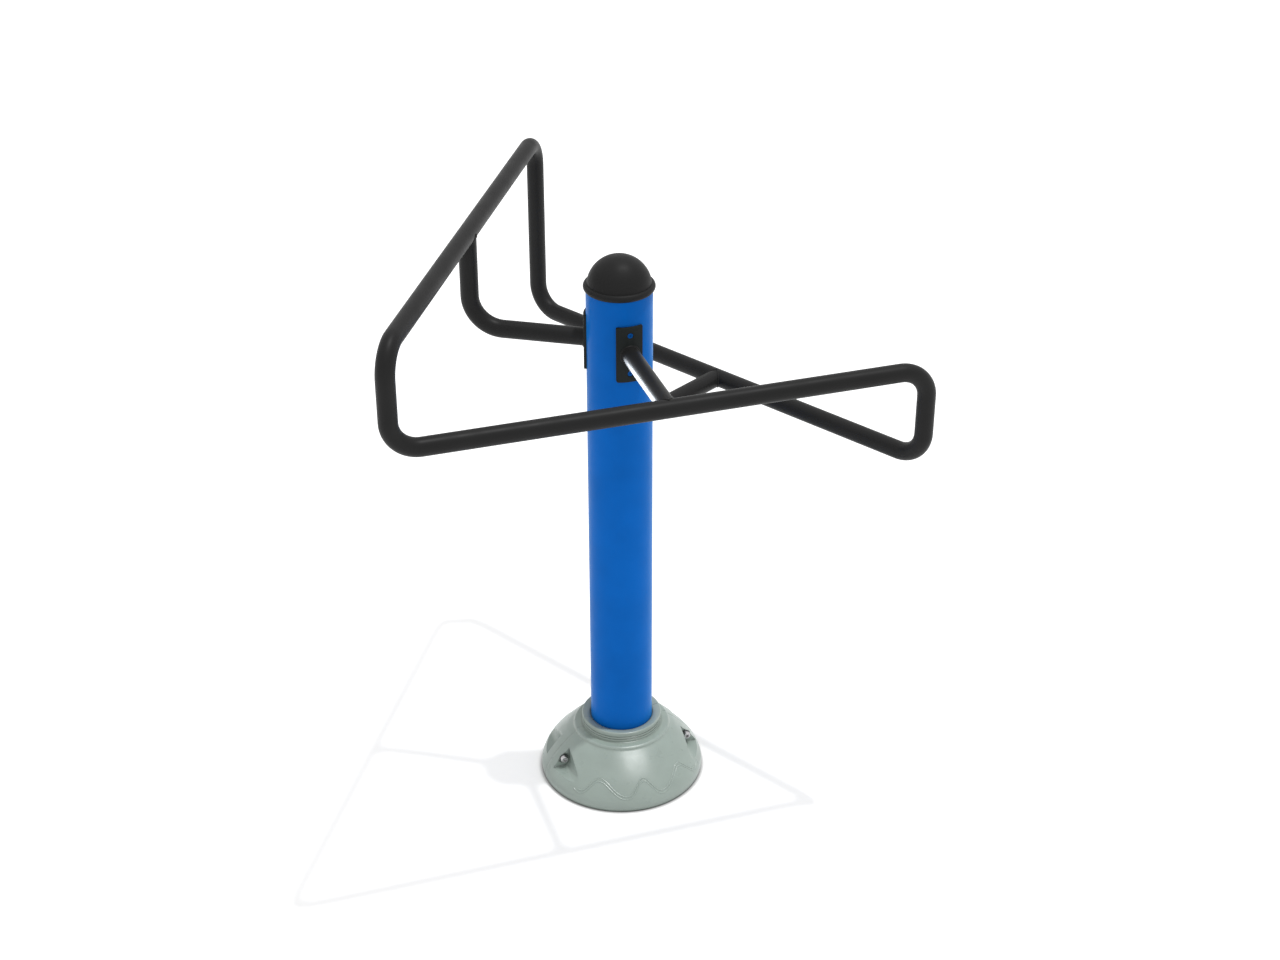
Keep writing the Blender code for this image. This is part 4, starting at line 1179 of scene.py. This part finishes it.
def camera_white(material_or_world):
    """A Light Path share that is 1 where the camera, a mirror or glass looks."""
    nodes, links = material_or_world.node_tree.nodes, material_or_world.node_tree.links
    path = nodes.new("ShaderNodeLightPath")
    first = nodes.new("ShaderNodeMath")
    first.operation = "MAXIMUM"
    links.new(path.outputs["Is Camera Ray"], first.inputs[0])
    links.new(path.outputs["Is Glossy Ray"], first.inputs[1])
    second = nodes.new("ShaderNodeMath")
    second.operation = "MAXIMUM"
    links.new(first.outputs["Value"], second.inputs[0])
    links.new(path.outputs["Is Transmission Ray"], second.inputs[1])
    return second.outputs["Value"]


def make_world():
    world = bpy.data.worlds.new("studio")
    bpy.context.scene.world = world
    world.use_nodes = True
    nodes, links = world.node_tree.nodes, world.node_tree.links
    nodes.clear()
    ambient = nodes.new("ShaderNodeBackground")
    ambient.inputs["Strength"].default_value = SKY_LEVEL
    white = nodes.new("ShaderNodeBackground")
    white.inputs["Strength"].default_value = 1.0
    for background in (ambient, white):
        background.inputs["Color"].default_value = WHITE
    mix = nodes.new("ShaderNodeMixShader")
    output = nodes.new("ShaderNodeOutputWorld")
    links.new(camera_white(world), mix.inputs["Fac"])
    links.new(ambient.outputs["Background"], mix.inputs[1])
    links.new(white.outputs["Background"], mix.inputs[2])
    links.new(mix.outputs["Shader"], output.inputs["Surface"])


def make_floor():
    """A white floor that the camera sees a little brighter, with a contact shadow painted into its
    colour and glow where pieces touch it.
    """
    shape = bmesh.new()
    bmesh.ops.create_grid(shape, x_segments=1, y_segments=1, size=FLOOR_HALF)
    floor = add_object("floor", shape)
    white = (FLOOR_WHITE,) * 3
    material = new_material("floor_white", white, FLOOR_ROUGHNESS, specular=0.0)
    nodes, links = material.node_tree.nodes, material.node_tree.links
    # Painted shadow: ambient occlusion darkens the floor's colour and glow near the pieces
    painted_shadow = nodes.new("ShaderNodeAmbientOcclusion")
    painted_shadow.inputs["Distance"].default_value = PAINTED_SHADOW_REACH
    colour = colour_between(
        material, painted_shadow.outputs["AO"], PAINTED_SHADOW_FADE, (PAINTED_SHADOW_DARK,) * 3, white)
    links.new(colour, nodes["Principled BSDF"].inputs["Base Color"])
    glow = nodes.new("ShaderNodeEmission")
    links.new(colour, glow.inputs["Color"])
    glow.inputs["Strength"].default_value = FLOOR_GLOW
    dark = nodes.new("ShaderNodeEmission")
    dark.inputs["Strength"].default_value = 0.0
    mix = nodes.new("ShaderNodeMixShader")
    add = nodes.new("ShaderNodeAddShader")
    links.new(camera_white(material), mix.inputs["Fac"])
    links.new(dark.outputs["Emission"], mix.inputs[1])
    links.new(glow.outputs["Emission"], mix.inputs[2])
    links.new(nodes["Principled BSDF"].outputs["BSDF"], add.inputs[0])
    links.new(mix.outputs["Shader"], add.inputs[1])
    links.new(add.outputs["Shader"], nodes["Material Output"].inputs["Surface"])
    floor.data.materials.append(material)


def look(obj, place, aim):
    """Stand a lamp or a camera at a place and turn it to what it is aimed at."""
    obj.location = place
    obj.rotation_mode = "QUATERNION"
    obj.rotation_quaternion = (aim - place).to_track_quat("-Z", "Y")


def add_lamp(name, kind, place, aim, power):
    lamp = in_scene(name, bpy.data.lights.new(name, kind))
    lamp.data.energy = power
    look(lamp, place, aim)
    return lamp


def shine_on(lamp, *names):
    """Keep a lamp to the shine of some pieces, out of the plain light and of the picture."""
    pieces = bpy.data.collections.new(lamp.name + "_pieces")
    for name in names:
        pieces.objects.link(bpy.data.objects[name])
    lamp.light_linking.receiver_collection = pieces
    lamp.visible_camera = False
    lamp.visible_diffuse = False


def make_lamps():
    key = add_lamp("key", "SUN", KEY_PLACE, ORIGIN, KEY_LEVEL * pi)
    key.data.angle = KEY_ANGLE
    arm = add_lamp("front_edge", "AREA", ARM_LAMP_PLACE, ARM_LAMP_AIM, ARM_LAMP_POWER)
    arm.data.size = ARM_LAMP_SIZE
    arm.data.color = ARM_LAMP_COLOUR
    wave = add_lamp("wave_shine", "AREA", WAVE_LAMP_PLACE, COVER_AIM, WAVE_LAMP_POWER)
    wave.data.size = WAVE_LAMP_SIZE
    cover = add_lamp("soft", "AREA", COVER_LAMP_PLACE, COVER_AIM, COVER_LAMP_POWER)
    cover.data.size = COVER_LAMP_SIZE
    shine_on(arm, "front_arm_tube", "front_plate_bead")
    shine_on(wave, "cover_wave_relief")
    shine_on(cover, "foot_cover_front", "foot_cover_rear")


def make_camera():
    camera = in_scene("camera", bpy.data.cameras.new("camera"))
    camera.data.lens = CAMERA_LENS
    camera.data.sensor_width = CAMERA_SENSOR
    look(camera, CAMERA_PLACE, CAMERA_AIM)
    bpy.context.scene.camera = camera
    bpy.context.scene.view_settings.view_transform = "Standard"


make_post()
make_cap()
make_handrail()
for arm in ARMS:
    make_arm(*arm)
    make_plate(*arm[:3])
make_plate_screws()
make_covers()
make_wave()
make_clamp_screws()
make_clamp_washers()
finish_hidden_steel()
make_world()
make_floor()
make_lamps()
make_camera()
